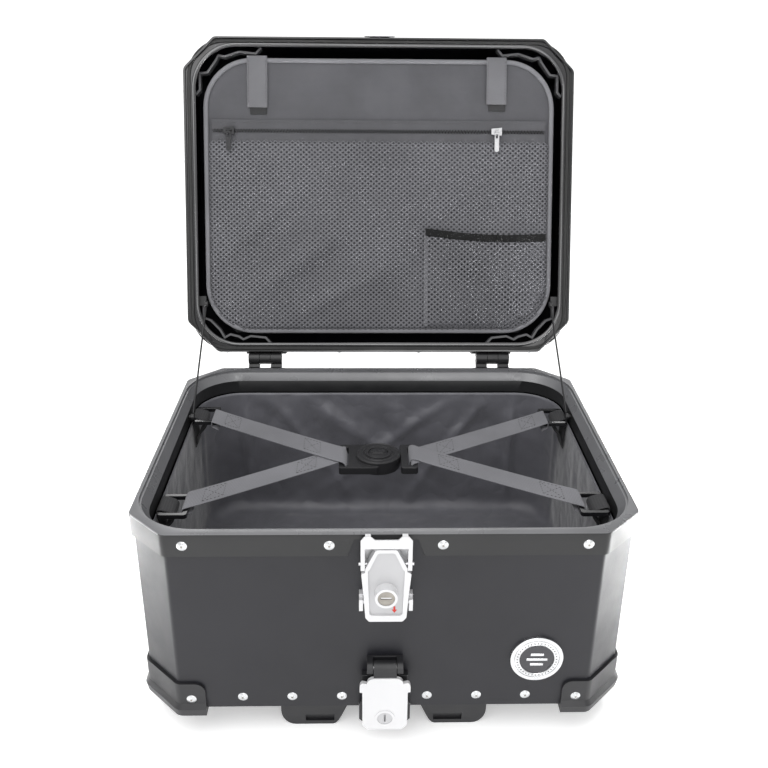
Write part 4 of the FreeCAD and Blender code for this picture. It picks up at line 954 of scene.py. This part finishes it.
# ---- lining ---------------------------------------------------------------------------------------
@dataclass
class Lining:
    """Loose nylon bag that lines the case."""

    width: float = 0.4025
    depth: float = 0.3125
    radius: float = 0.0462
    top: float = 0.1890
    floor: float = 0.0362
    bend: float = 0.014       # radius between wall and floor
    cloth: float = 0.0008
    # how many waves go round the bag, and their height in millimetres
    waves: tuple = ((5, 2.2), (9, 2.0), (14, 1.5), (23, 0.8))
    # each valley's turn from the corner, its slope, its width as a turn and its depth in millimetres
    valleys: tuple = ((0.13, 0.0, 0.014, 7.0), (-0.12, 0.0, 0.014, 5.0), (0.21, 0.45, 0.03, 5.0),
                      (0.36, 0.9, 0.05, 4.5), (0.30, -0.3, 0.03, -3.0))

    def folds(self, place: np.ndarray, z: np.ndarray) -> np.ndarray:
        """How far the wall stands out of its even line, outwards positive.

        Soft upright waves of four lengths, with seeded phases, grow from nothing at the hem and lean as they
        go down. Sharp valleys are drawn in at the back corners. The side walls are calmer than the others,
        and beside the corner anchors the wall is held.

        Args:
            place: (rows, columns, 3) points of the even wall.
            z: (rows, 1) heights.

        Returns:
            The offsets in metres, (rows, columns).
        """
        draw = np.random.default_rng(7)
        turn = np.arctan2(place[..., 1] / self.depth, place[..., 0] / self.width)
        down = np.clip((self.top - z) / (self.top - self.floor), 0, 1)
        grow = np.clip(down * 4, 0, 1) ** 1.3
        total = np.zeros(turn.shape)
        for waves, size in self.waves:
            phase, lean, slow = draw.uniform(0, 2 * math.pi), draw.uniform(-4.5, 4.5), draw.uniform(2, 5)
            ridge = np.sin(waves * turn + phase + lean * down + 0.8 * np.sin(3 * turn + 5 * down))
            total += size * MM * (1 - 2 * np.abs(ridge) ** 1.1) * np.cos(slow * down * 0.6)
        for side in SIDES:
            corner = math.atan2(1, side * 1.0)
            for offset, slope, wide, deep in self.valleys:
                line = (turn - corner) * side - offset - slope * down
                total -= deep * MM * np.exp(-(line / wide) ** 2) * np.clip(1.2 - down, 0, 1)
        total *= 1 - 0.75 * np.clip((np.abs(np.cos(turn)) - 0.6) * 5, 0, 1)
        held = np.exp(-((np.abs(place[..., 1]) - 0.09) / 0.02) ** 4) * np.clip((z - 0.145) / 0.01, 0, 1)
        held = held * (np.abs(place[..., 0]) > 0.15)
        return np.clip(total * grow, -0.0055, 0.0062) * (1 - held) + 0.0006 * grow

    def build(self) -> None:
        """Wall rows go down from the hem, round the bend and inwards over the floor to its middle.

        A row is the rounded outline pulled in by the profile, and the floor's rows shrink towards the middle,
        with low creases that die out at the edge.
        """
        count = 420
        outline, normal = rounded_loop(self.width, self.depth, self.radius, count)
        wall_z = np.linspace(self.top, self.floor + self.bend, 46)
        arc = np.linspace(0, math.pi / 2, 7)[1:]
        inset = np.concatenate([np.zeros(46), self.bend * (1 - np.cos(arc))])
        z = np.concatenate([wall_z, self.floor + self.bend * (1 - np.sin(arc))])
        even = np.concatenate([outline[None] - normal[None] * inset[:, None, None],
                               np.broadcast_to(z[:, None, None], (len(z), count, 1))], -1)
        shift = self.folds(even, z[:, None])
        fade = np.clip((z - self.floor) / 0.03, 0, 1)[:, None]
        even[..., :2] += normal[None] * (shift * fade)[..., None]
        share = np.linspace(1, 0.02, 34)[1:, None, None]
        ground = even[-1][None] * np.concatenate([np.repeat(share, 2, -1), np.ones_like(share)], -1)
        x, y = ground[..., 0], ground[..., 1]
        crease = np.abs(np.sin(31 * x + 19 * y + 1.3 * np.sin(40 * y))) ** 3 * 1.6
        crease += np.abs(np.sin(-23 * x + 37 * y + 1.7 * np.sin(33 * x))) ** 4 * 1.3
        ground[..., 2] += crease * MM * np.sin(np.pi * share[..., 0]) ** 0.5
        rows = np.concatenate([even, ground])
        travel = np.concatenate([np.zeros((1, count)),
                                 np.cumsum(np.linalg.norm(np.diff(rows, axis=0), axis=2), axis=0)])
        around = distances(outline, True)
        depth = np.hstack([travel, travel[:, :1]])
        uv = np.stack([np.broadcast_to(around, depth.shape), depth], -1)
        grid = Sheet(rows, wrap_columns=True, uv=uv)
        mesh = grid.mesh("lining")
        shape = bmesh.new()
        shape.from_mesh(mesh)
        shape.verts.ensure_lookup_table()
        last = (rows.shape[0] - 1) * count
        shape.faces.new([shape.verts[k] for k in range(last, last + count)])
        bmesh.ops.recalc_face_normals(shape, faces=shape.faces)
        shape.to_mesh(mesh)
        shape.free()
        thing = piece("lining", mesh, NYLON, "case", smooth=80, closed=False)
        thicken(thing, self.cloth)
        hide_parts("liner")


# ---- straps ---------------------------------------------------------------------------------------
@dataclass
class Straps:
    """Four straps from the corner rings to the cross buckle."""

    width: float = 0.026
    cloth: float = 0.0013
    buckle: tuple[float, float] = (-0.004, -0.011)
    bar: tuple[float, float] = (0.034, 0.038)       # the buckle's bar, from its centre
    bar_z: tuple[float, float] = (0.1904, 0.1976)
    ring_in: float = 0.1736                         # the ring's inner bar starts here
    ring_bar: float = 0.004
    level: float = 0.194
    ends: dict[str, tuple[float, float]] = field(default_factory=lambda: {
        "front_left": (-0.190, -0.090), "rear_left": (-0.191, 0.090),
        "front_right": (0.190, -0.092), "rear_right": (0.191, 0.090)})
    upper: tuple[str, ...] = ("rear_left", "front_right")

    def route(self, name: str) -> tuple[np.ndarray, np.ndarray, np.ndarray]:
        """The strap's line seen from its side.

        It folds round the ring's inner bar, runs straight with a slight sag, climbs over the buckle's bar and
        folds under it. The upper strap of a pair folds outside the lower one.

        Args:
            name: which strap.

        Returns:
            The path (n, 3), the direction of the run in plan, and the crossing direction of the strap.
        """
        x, y = self.ends[name]
        side = math.copysign(1.0, x)
        start = np.array([x - side * 0.004, y])
        end = np.array([self.buckle[0] + side * 0.0385, self.buckle[1]])
        run = (end - start) / np.linalg.norm(end - start)
        layer = name in self.upper
        low = self.level + (0.0006 if layer else -0.0017)
        mid = low + self.cloth / 2
        lean = abs(run[0])

        def at(x_abs: float) -> float:
            """Distance along the run of a place x_abs from the middle of the case."""
            return (abs(start[0]) - x_abs) / lean

        def at_buckle(x_off: float) -> float:
            """Distance along the run of a place x_off from the buckle's centre."""
            return (side * (start[0] - self.buckle[0]) - x_off) / lean

        ring_z = low - 0.0004 - 0.0042
        gap = self.cloth / 2 + 0.0004
        tail = at(self.ring_in - 0.0025)
        inner, outer = at(self.ring_in) + gap, at(self.ring_in + self.ring_bar) - gap
        far, near = at_buckle(self.bar[1]), at_buckle(self.bar[0])
        lift = gap + (0.0017 if layer else 0.0)
        corners = [(tail, ring_z - gap - 0.0012), (inner, ring_z - gap), (outer, ring_z - gap * 0.9),
                   (outer - gap * 0.4, ring_z + 0.002), (outer, mid - 0.0002), (outer + 0.0022, mid + 0.0003),
                   (inner + 0.01, mid), (far * 0.5, (mid + self.bar_z[1] + lift) / 2 - 0.001),
                   (far - 0.004, self.bar_z[1] + lift - 0.0008), (far, self.bar_z[1] + lift),
                   (near + 0.001, self.bar_z[1] + lift), (near + lift + 0.0016, self.bar_z[1] - 0.0006),
                   (near + lift + 0.0008, self.bar_z[0] + 0.0006), (near, self.bar_z[0] - lift),
                   (far + 0.003, self.bar_z[0] - lift)]
        line = open_path(self.smooth(np.array(corners)), 0.0012)
        path = np.stack([start[0] + run[0] * line[:, 0], start[1] + run[1] * line[:, 0], line[:, 1]], -1)
        cross = np.array([0.0, 1.0 / lean, 0.0])
        return path, np.array([run[0], run[1], 0.0]), cross

    def smooth(self, corners: np.ndarray) -> np.ndarray:
        """Rounds a line's corners by cutting them at a quarter and three quarters, three times over."""
        for _ in range(3):
            first = corners[:-1] * 0.75 + corners[1:] * 0.25
            second = corners[:-1] * 0.25 + corners[1:] * 0.75
            cut = np.stack([first, second], 1).reshape(-1, corners.shape[1])
            corners = np.vstack([corners[:1], cut, corners[-1:]])
        return corners

    def build(self) -> None:
        """Each strap is a flat woven section carried along its route, with a sewn box at each end."""
        for name in self.ends:
            path, run, cross = self.route(name)
            up = np.cross(directions(path), np.array([run[1], -run[0], 0.0]))
            section = oval(self.width, self.cloth, 28, 6.0)
            points = path[:, None] + section[None, :, :1] * cross + section[None, :, 1:] * up[:, None]
            travel = distances(path, False)[:, None]
            width = np.append(section[:, 0], section[0, 0])[None, :]
            slant = float(cross @ run)
            uv = np.stack([travel + width * slant, np.broadcast_to(width, (len(path), 29))], -1)
            grid = Sheet(points, wrap_columns=True, uv=uv, caps=True)
            thing = piece(f"webbing_{name}", grid.mesh(name), WEBBING, "case", smooth=60)
            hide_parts(f"strap_{name}")
            self.sew(name, path, run, cross)

    def sew(self, name: str, path: np.ndarray, run: np.ndarray, cross: np.ndarray) -> None:
        """A box of stitches with a cross in it, near each end of the strap."""
        top = path[path[:, 2] > self.level - 0.004]
        along = (top - top[0]) @ run
        rows = []
        for first in (0.018, float(along.max()) - 0.052):
            half = self.width * 0.36
            a, b = first, first + 0.02
            box = np.array([(a, -half), (b, -half), (b, half), (a, half)])
            for one, two in ((0, 1), (1, 2), (2, 3), (3, 0), (0, 2), (3, 1)):
                u, v = np.linspace(box[one], box[two], 12).T
                order = np.argsort(along)
                base = np.stack([np.interp(u, along[order], top[order, k]) for k in range(3)], -1)
                line = base + v[:, None] * cross + np.array([0, 0, self.cloth / 2])
                rows.append(stitches(line, Z_AXIS))
        piece(f"strap_seams_{name}", merged("seams", rows), THREAD, "case")


@dataclass
class RingTies:
    """Black webbing that ties each corner ring to the wall."""

    width: float = 0.024
    cloth: float = 0.0013
    places: tuple = ((-1, -0.090, 0), (-1, 0.090, 1), (1, -0.092, 1), (1, 0.090, 0))

    def build(self) -> None:
        """A flat section carried up the wall, round the ring's outer bar and back down."""
        for number, (side, y, layer) in enumerate(self.places):
            low = 0.194 + (0.0006 if layer else -0.0017) - 0.0046
            gap = self.cloth / 2 + 0.0003
            line = np.array([(0.1987, low - 0.03), (0.1987, low - 0.008), (0.2006, low - 0.001),
                             (0.1996 + gap, low + 0.001), (0.1996 + gap, low + 0.0042),
                             (0.1985, low + 0.0042 + gap), (0.1965, low + 0.0042 + gap),
                             (0.191, low + 0.0036), (0.1862, low + 0.0012), (0.1852, low - 0.003),
                             (0.189, low - 0.0095), (0.1962, low - 0.016), (0.1972, low - 0.026)])
            line = open_path(Straps().smooth(line), 0.001)
            path = np.stack([side * line[:, 0], np.full(len(line), y), line[:, 1]], -1)
            up = np.cross(directions(path), Y_AXIS)
            grid = sweep(path, Y_AXIS, up, oval(self.width, self.cloth, 20, 6.0))
            thing = piece(f"ring_tie_{number}", grid.mesh("ring_tie"), DARK_WEBBING, "case", smooth=60)
            length = float(distances(path, False)[-1])
            if number == 0:
                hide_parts("strap_anchors")


# ---- organiser ------------------------------------------------------------------------------------
@dataclass
class Organiser:
    """Padded panel in the lid with a zip, a net pocket and a small gathered pocket."""

    width: float = 0.400
    height: float = 0.311
    radius: float = 0.055
    middle_y: float = -0.0005
    face: float = 0.012       # visible face, above the rim plane
    back: float = 0.017
    binding: float = 0.0055
    zip_y: float = -0.075
    tooth: tuple[float, float, float] = (0.00055, 0.0014, 0.0007)
    bulges: tuple = ((-0.095, 0.075, 0.62, 0.015, 0.0055), (-0.14, 0.035, 0.8, 0.010, 0.0035),
                     (-0.055, 0.115, 0.5, 0.010, 0.0035), (-0.03, -0.01, 1.2, 0.02, 0.002),
                     (0.085, -0.005, 1.5, 0.012, 0.003), (0.14, -0.01, -1.4, 0.012, 0.003),
                     (0.02, 0.06, 1.4, 0.03, 0.0018))    # x, y, slope, half width and height of each

    def panel(self) -> None:
        """The padded panel: rings of the outline shrink towards its middle.

        The front swells by the square root of the distance from the edge, up to a crown. It is drawn in along
        the zip, and has low soft waves. The back is flat.
        """
        count, rings = 240, 30
        outline, _ = rounded_loop(self.width - 0.004, self.height - 0.004, self.radius, count)
        share = np.linspace(1, 0.01, rings)[:, None]
        x = outline[None, :, 0] * share
        y = outline[None, :, 1] * share
        edge = np.clip((1 - share) * 6, 0, 1) ** 0.5
        wave = 0.5 * np.sin(31 * x + 2.0) * np.sin(27 * y + 0.6) + 0.35 * np.sin(57 * x - 23 * y)
        gather = np.exp(-((y - self.zip_y) / 0.016) ** 2)
        front = self.face + 0.0014 - 0.0010 * edge - 0.0006 * wave * edge + 0.0008 * gather
        front = np.clip(front, self.face - 0.0004, self.back)
        back = np.full_like(front, self.back)
        points = np.stack([np.vstack([x, x[::-1]]), np.vstack([y, y[::-1]]) + self.middle_y,
                           np.vstack([front, back[::-1]])], -1)
        points = np.roll(points, rings, axis=0)
        uv_points = np.concatenate([points, points[:, :1]], axis=1)
        grid = Sheet(place_on_lid(points), wrap_columns=True, uv=uv_points[..., :2].copy(), caps=True)
        thing = piece("organiser", grid.mesh("organiser"), CLOTH, "lid", smooth=70)
        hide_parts("organiser_panel")
        loop, normal = rounded_loop(self.width - 0.005, self.height - 0.005, self.radius - 0.0025, 240)
        path = lifted(loop + [0, self.middle_y], (self.face + self.back) / 2)
        edge = sweep(path, lifted(normal, 0.0), Z_AXIS, oval(self.binding, 0.0058, 16, 3.0), closed=True,
                     lid=True)
        piece("organiser_binding", edge.mesh("binding"), BINDING, "lid", smooth=70)
        seam, _ = rounded_loop(self.width - 0.0115, self.height - 0.0115, self.radius - 0.0055, 400)
        seam = np.vstack([seam, seam[:1]])
        line = lifted(seam + [0, self.middle_y], self.face + 0.0006)
        piece("organiser_seam", stitches(line, -Z_AXIS, lid=True), THREAD, "lid")

    def zip(self) -> None:
        """Two tapes with a raised edge, and a row of teeth between them."""
        rows = []
        for side in SIDES:
            inner, outer = self.zip_y + side * 0.0012, self.zip_y + side * 0.0125
            path = open_path(np.array([(x, (inner + outer) / 2, 0.0112) for x in (-0.1905, 0.1905)]), 0.004)
            path[:, 2] += 0.00025 * np.sin(path[:, 0] * 410)
            rows.append(sweep(path, Y_AXIS, Z_AXIS, oval(abs(outer - inner), 0.0011, 16, 5.0), lid=True))
        thing = piece("zip_tapes", joined("zip_tapes", rows), ZIP_TAPE, "lid", smooth=60)
        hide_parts("zip_tape")
        x = np.arange(-0.1885, 0.1885, 0.00165)
        turn = np.where(np.arange(len(x)) % 2 == 0, 1.0, -1.0)
        centre = np.stack([x, self.zip_y + turn * 0.0006, np.full(len(x), 0.0105)], -1)
        piece("zip_teeth", blocks(centre, np.eye(3), self.tooth, lid=True), ZIP_BLACK, "lid")
        lines = [np.stack([np.linspace(-0.188, 0.188, 300), np.full(300, self.zip_y + s * 0.0095),
                           np.full(300, 0.0106)], -1) for s in SIDES]
        seams = [stitches(one, -Z_AXIS, lid=True) for one in lines]
        piece("zip_seams", merged("zip_seams", seams), THREAD, "lid")

    def net(self, name: str, inside: object, height: object, half: tuple[float, float], strand: float,
            extent: tuple[float, float, float, float]) -> bpy.types.Object:
        """Netting: diamonds that tile the pocket, each with a diamond hole.

        The diamonds' centres are where the sum of two whole numbers is even. A cell has four quads between
        its outer and inner diamonds, and the height at each point comes from a function of x and y.

        Args:
            name: the piece's name.
            inside: function of x and y that is true inside the pocket.
            height: function of x and y that gives the height above the rim plane.
            half: half the diagonals of a diamond.
            strand: the inner diamond's size as a share of the outer one's.
            extent: lowest and highest x and y.

        Returns:
            The piece.
        """
        a, b = half
        i, j = np.meshgrid(np.arange(int(extent[0] / a) - 1, int(extent[1] / a) + 2),
                           np.arange(int(extent[2] / b) - 1, int(extent[3] / b) + 2), indexing="ij")
        keep = (i + j) % 2 == 0
        x, y = i[keep] * a, j[keep] * b
        keep = inside(x, y)
        centre = np.stack([x[keep], y[keep]], -1)
        diamond = np.array([(1, 0), (0, 1), (-1, 0), (0, -1)]) * [a, b]
        ring = centre[:, None] + np.concatenate([diamond, diamond * strand])[None]
        points = place_on_lid(np.stack([ring[..., 0], ring[..., 1], height(ring[..., 0], ring[..., 1])], -1))
        one = np.array([(0, 1, 5, 4), (1, 2, 6, 5), (2, 3, 7, 6), (3, 0, 4, 7)])
        thing = piece(name, cells(name, points, one), NET, "lid", smooth=80)
        thicken(thing, 0.0005)
        return thing

    def main_pocket(self) -> None:
        """The large net pocket, which hangs from the zip to the panel's lower edge."""
        low, high, half_w, corner = -0.0635, 0.1505, 0.1945, 0.050

        def inside(x: np.ndarray, y: np.ndarray) -> np.ndarray:
            """True in the rectangle with two round lower corners."""
            dx = np.maximum(np.abs(x) - (half_w - corner), 0)
            dy = np.maximum(y - (high - corner), 0)
            return (np.abs(x) < half_w) & (y > low) & (y < high) & (np.hypot(dx, dy) < corner)

        def height(x: np.ndarray, y: np.ndarray) -> np.ndarray:
            """Soft waves with long bulges, flat at the edges and beside the small pocket."""
            rise = np.clip(np.sin(np.pi * np.clip((y - low) / (high - low), 0, 1)), 0, 1)
            rise = rise * np.cos(0.5 * np.pi * np.clip(x / half_w, -1, 1))
            swell = 0.0007 * (1 + 0.7 * np.sin(23 * x + 9 * y) * np.cos(29 * y))
            for at_x, at_y, slope, wide, size in self.bulges:
                across = (y - at_y) + slope * (x - at_x)
                swell = swell + size * np.exp(-(across / wide) ** 2) * np.exp(-((x - at_x) / 0.055) ** 2)
            beside = 1 - np.clip((x - 0.035) / 0.02, 0, 1) * np.clip((y - 0.015) / 0.02, 0, 1)
            return 0.0108 - np.minimum(rise ** 0.5 * swell, 0.0062) * beside

        thing = self.net("net_pocket", inside, height, (0.0032, 0.0027), 0.52, (-half_w, half_w, low, high))
        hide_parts("mesh_pocket")

    def small_pocket(self) -> None:
        """The gathered pocket: net with folds that fan from its elastic, and the elastic on top."""
        corners = [(0.054, 0.036), (0.192, 0.042), (0.192, 0.1), (0.186, 0.118), (0.172, 0.134),
                   (0.15, 0.145), (0.054, 0.147)]
        px, py = np.array(corners).T

        def inside(x: np.ndarray, y: np.ndarray) -> np.ndarray:
            """True on the inner side of every edge of the outline."""
            ok = np.ones(x.shape, bool)
            for k in range(len(px)):
                ex, ey = px[(k + 1) % len(px)] - px[k], py[(k + 1) % len(px)] - py[k]
                ok &= (x - px[k]) * ey - (y - py[k]) * ex < 0.0005 * math.hypot(ex, ey)
            sag = 0.004 * np.sin(np.pi * np.clip((x - 0.054) / 0.138, 0, 1))
            return ok & (y > 0.036 + 0.0435 * (x - 0.054) + sag)

        def height(x: np.ndarray, y: np.ndarray) -> np.ndarray:
            """Folds that fan out below the elastic, deepest in the middle."""
            u = np.clip((x - 0.054) / 0.138, 0, 1)
            v = np.clip((y - 0.038) / 0.107, 0, 1)
            swell = np.sin(np.pi * u) ** 0.6 * (1 - v) ** 0.5
            fan = 5 * u + 0.35 * np.sin(3 * v) + 0.15 * np.sin(11 * u)
            folds = (1 - 2 * np.abs(np.sin(math.pi * fan)) ** 0.8) * np.sin(np.pi * u) ** 0.5 * (1 - 0.5 * v)
            return np.minimum(0.0080 - 0.0040 * swell - 0.0022 * folds, 0.0092)

        pocket = self.net("gathered_pocket", inside, height, (0.0034, 0.0029), 0.56,
                          (0.054, 0.192, 0.03, 0.147))
        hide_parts("side_pocket")
        x = np.linspace(0.0535, 0.1925, 120)
        sag = 0.004 * np.sin(np.pi * (x - 0.0535) / 0.139)
        y = 0.0385 + 0.0435 * (x - 0.054) + sag
        path = np.stack([x, y, height(x, y) - 0.0002], -1)
        band = sweep(path, Y_AXIS, Z_AXIS, oval(0.0085, 0.0018, 16, 4.0), lid=True)
        elastic = piece("pocket_elastic", band.mesh("elastic"), ELASTIC, "lid", smooth=60)
        path = open_path(lifted(np.array([(0.054, 0.041), (0.054, 0.147)]), 0.0092), 0.004)
        side = sweep(path, X_AXIS, Z_AXIS, oval(0.0045, 0.0012, 14, 4.0), lid=True)
        hem = piece("pocket_hem", side.mesh("hem"), BINDING, "lid", smooth=60)

    def tabs(self) -> None:
        """Two tabs that hold the panel to the lid's front edge, each with a darker patch behind its end."""
        parts, patches, seams = [], [], []
        for x0, x1, y1 in ((-0.150, -0.127, -0.101), (0.122, 0.145, -0.106)):
            mid = (x0 + x1) / 2
            y = np.linspace(-0.158, y1, 24)
            lift = 0.0006 * np.sin(np.pi * (y - y[0]) / (y[-1] - y[0]))
            path = np.stack([np.full(24, mid), y, 0.0106 - lift], -1)
            parts.append(sweep(path, X_AXIS, Z_AXIS, oval(x1 - x0, 0.0014, 18, 6.0), lid=True))
            under = np.linspace(y1 - 0.006, y1 + 0.0075, 10)
            cover = np.stack([np.full(10, mid + 0.001), under, np.full(10, 0.0117)], -1)
            patches.append(sweep(cover, X_AXIS, Z_AXIS, oval((x1 - x0) * 0.84, 0.0009, 18, 6.0), lid=True))
            for s in SIDES:
                line = path[2:23] + [s * (x1 - x0) * 0.42, 0, -0.0008]
                seams.append(stitches(line, -Z_AXIS, lid=True))
        thing = piece("fastening_tab_pair", joined("tabs", parts), TAB_CLOTH, "lid", smooth=60)
        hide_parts("fastening_tabs")
        thing = piece("tab_patches", joined("patches", patches), FUZZ, "lid", smooth=60)
        piece("tab_seams", merged("tab_seams", seams), THREAD, "lid")

    def build(self) -> None:
        """Panel, zip, pockets and tabs."""
        self.panel()
        self.zip()
        self.main_pocket()
        self.small_pocket()
        self.tabs()


# ---- small details --------------------------------------------------------------------------------
@dataclass
class LidSeal:
    """Rubber seal on the lid's frame, and a glossy bead round its mouth."""

    middle: tuple[float, float] = (0.428, 0.344)
    radius: float = 0.040
    lip: tuple[float, float] = (0.4186, 0.3364)
    lip_radius: float = 0.0484

    def build(self) -> None:
        """A two-humped section carried round the lid: the face dips between two rounded beads."""
        loop, normal = rounded_loop(*self.middle, self.radius, 280)
        path, side = lifted(loop, 0.0016), lifted(normal, 0.0)
        angle = np.linspace(0, 2 * math.pi, 28, endpoint=False)
        across = 0.0018 * np.cos(angle)
        up = 0.0012 * np.sin(angle) * (0.55 + 0.45 * np.abs(np.cos(angle)))
        grid = sweep(path, side, Z_AXIS, np.stack([across, up], -1), closed=True, lid=True)
        thing = piece("lid_seal", grid.mesh("seal"), RUBBER, "lid", smooth=70)
        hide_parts("lid_gasket")
        loop, normal = rounded_loop(*self.lip, self.lip_radius, 280)
        bead = sweep(lifted(loop, 0.0028), lifted(normal, 0.0), Z_AXIS, oval(0.0044, 0.0034, 20), closed=True,
                     lid=True)
        piece("lid_lip_bead", bead.mesh("bead"), GLOSS_BEAD, "lid", smooth=70)


@dataclass
class Badge:
    """Plain round emblem: a silver ring with short dark marks round a dark disc with three plain bars."""

    x: float = 0.1315
    z: float = 0.085
    face: float = -0.1713
    disc: float = 0.0193
    ring: float = 0.0152

    def build(self) -> None:
        """The disc, the ring, its marks and the bars."""
        centre = (self.x, self.face, self.z)
        front, level = -Y_AXIS, X_AXIS
        r, inner = self.disc, self.ring
        disc = turned([(0.0002, 0.0009), (inner * 0.6, 0.0008), (inner, 0.0005), (inner, 0.0), (0.0002, 0.0)],
                      centre, front, level, 72)
        piece("badge_disc", disc.mesh("badge_disc"), BADGE_BLACK, "case", smooth=50)
        band = turned([(inner, 0.0), (inner, 0.0013), (inner + 0.0005, 0.0016), (inner + 0.001, 0.0013),
                       (r - 0.0004, 0.0011), (r, 0.0009), (r, 0.0)], centre, front, level, 72)
        piece("badge_band", band.mesh("badge_band"), BADGE_SILVER, "case", smooth=30)
        angle = np.arange(36) * math.pi / 18
        spoke = np.stack([np.cos(angle), np.zeros(36), np.sin(angle)], -1)
        around = np.stack([-np.sin(angle), np.zeros(36), np.cos(angle)], -1)
        axes = np.stack([spoke, np.broadcast_to(front, spoke.shape), around], 1)
        marks = np.array(centre) + spoke * 0.0171 + front * 0.00115
        piece("badge_marks", blocks(marks, axes, (0.0006, 0.00015, 0.0004)), BADGE_BLACK, "case")
        bars = np.array(centre) + front * 0.001 + np.array([[0, 0, 0.0052], [0, 0, 0], [0, 0, -0.0052]])
        half = np.array([[0.0058, 0.0006, 0.0013], [0.0092, 0.0006, 0.0013], [0.0058, 0.0006, 0.0013]])
        thing = piece("badge_bars", blocks(bars, np.eye(3), half), BADGE_SILVER, "case")
        ease_edges(thing, 0.0005, 3)


@dataclass
class RivetCentres:
    """The small raised ring and dark core in the middle of each rivet's head."""

    ring: float = 0.0018

    def places(self, node: str, lid: bool) -> tuple[np.ndarray, np.ndarray]:
        """Middles of the heads and the way each head faces.

        A rivet is one island of its node. Its axis is the shorter of its two level sizes, away from the
        middle.

        Args:
            node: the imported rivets.
            lid: whether they are on the lid, whose points are first turned back to the closed lid.

        Returns:
            Head middles and unit axes, (n, 3) each.
        """
        shape = bmesh.new()
        shape.from_mesh(frame["nodes"][node].data)
        bmesh.ops.remove_doubles(shape, verts=shape.verts, dist=1e-6)
        left, middles, ways = set(shape.verts), [], []
        while left:
            island, grow = set(), [left.pop()]
            while grow:
                vert = grow.pop()
                island.add(vert)
                near = {edge.other_vert(vert) for edge in vert.link_edges} & left
                left -= near
                grow += near
            points = np.array([vert.co for vert in island], float)
            if lid:
                y, z = points[:, 1] - HINGE[0], points[:, 2] - HINGE[1]
                c, s = math.cos(LID_OPEN), math.sin(LID_OPEN)
                points[:, 1], points[:, 2] = HINGE[0] + y * c - z * s, y * s + z * c + HINGE[1] - RIM_Z
            low, high = points.min(0), points.max(0)
            axis = int(np.argmin((high - low)[:2]))
            middle = (low + high) / 2
            way = np.zeros(3)
            way[axis] = math.copysign(1.0, middle[axis])
            middle[axis] = high[axis] if way[axis] > 0 else low[axis]
            middles.append(middle)
            ways.append(way)
        shape.free()
        order = np.lexsort(np.array(middles).T)
        return np.array(middles)[order], np.array(ways)[order]

    def build(self) -> None:
        """A ring and a core on the head of each rivet of the rim, the floor and the lid."""
        r = self.ring
        for node, body in (("rim_rivets", "case"), ("floor_rivets", "case"), ("lid_rivets", "lid")):
            lid = body == "lid"
            rings, cores = [], []
            for middle, way in zip(*self.places(node, lid)):
                ring = turned([(r, -0.0006), (r, 0.0001), (r - 0.0003, 0.0003), (r - 0.0007, 0.0002),
                               (r - 0.0008, -0.0004)], middle, way, Z_AXIS, 20)
                core = turned([(0.0001, 0.0001), (r - 0.0009, 0.0001), (r - 0.0009, -0.0006),
                               (0.0001, -0.0006)], middle, way, Z_AXIS, 16)
                for one in (ring, core):
                    one.points = place_on_lid(one.points) if lid else one.points
                rings.append(ring)
                cores.append(core)
            piece(f"{node}_rings", joined("rings", rings), RIVET, body)
            piece(f"{node}_cores", joined("cores", cores), KEY_METAL, body)


@dataclass
class BuckleFace:
    """Fine rings on the buckle's housing and ribs on its button."""

    x: float = -0.004
    y: float = -0.011
    top: float = 0.2005
    button: float = 0.2032

    def build(self) -> None:
        """Two round beads on the housing, and seven ribs across the button's grip."""
        up, level = Z_AXIS, X_AXIS
        beads = [turned([(r, -0.0003), (r + 0.0002, 0.0004), (r + 0.0007, 0.0006), (r + 0.0012, 0.0004),
                         (r + 0.0014, -0.0003)], (self.x, self.y, self.top), up, level, 60)
                 for r in (0.0142, 0.0192)]
        piece("buckle_rings", joined("beads", beads), BUCKLE_GREY, "case", smooth=60)
        x = self.x + np.linspace(-0.0044, 0.0044, 7)
        ribs = np.stack([x, np.full(7, self.y), np.full(7, self.button)], -1)
        piece("button_ribs", blocks(ribs, np.eye(3), (0.0003, 0.0021, 0.0003)), GLOSS_BEAD, "buckle_button")


@dataclass
class LatchTrim:
    """The small red arrow on the lever, and the shutter of its key slot."""

    front: float = -0.1825
    dish: float = 0.0016

    def prism(self, name: str, outline: list[tuple[float, float]], y0: float, y1: float, finish: Finish,
              body: str) -> None:
        """A flat outline in x and z given a thickness from y0 to y1."""
        plan = np.array(outline)
        rows = [np.stack([plan[:, 0], np.full(len(plan), y), plan[:, 1]], -1) for y in (y0, y1)]
        thing = piece(name, Sheet(np.stack(rows), wrap_columns=True, caps=True).mesh(name), finish, body)
        ease_edges(thing, 0.0002)

    def build(self) -> None:
        """The arrow low on the right, and the shutter in the middle of the cylinder."""
        base = self.front + self.dish
        z = 0.149
        self.prism("open_arrow", [(0.0062, z), (0.0078, z), (0.0078, z - 0.0032), (0.0092, z - 0.0032),
                                  (0.0070, z - 0.0064), (0.0048, z - 0.0032), (0.0062, z - 0.0032)],
                   base + 0.0002, base - 0.0003, SIGNAL_RED, "latch_lever")
        shutter = [(-0.0044, 0.16245), (0.0044, 0.16245), (0.0044, 0.16415), (-0.0044, 0.16415)]
        self.prism("key_shutter", shutter, self.front - 0.0052, self.front - 0.0063, SILVER, "latch_cylinder")


def main() -> None:
    """Builds the scene in order."""
    logging.basicConfig(level=logging.INFO, format="%(message)s")
    Studio().build()
    CheckCables().build()
    HardParts().build()
    Lining().build()
    Straps().build()
    RingTies().build()
    Organiser().build()
    LidSeal().build()
    Badge().build()
    RivetCentres().build()
    BuckleFace().build()
    LatchTrim().build()


if __name__ == "__main__":
    main()
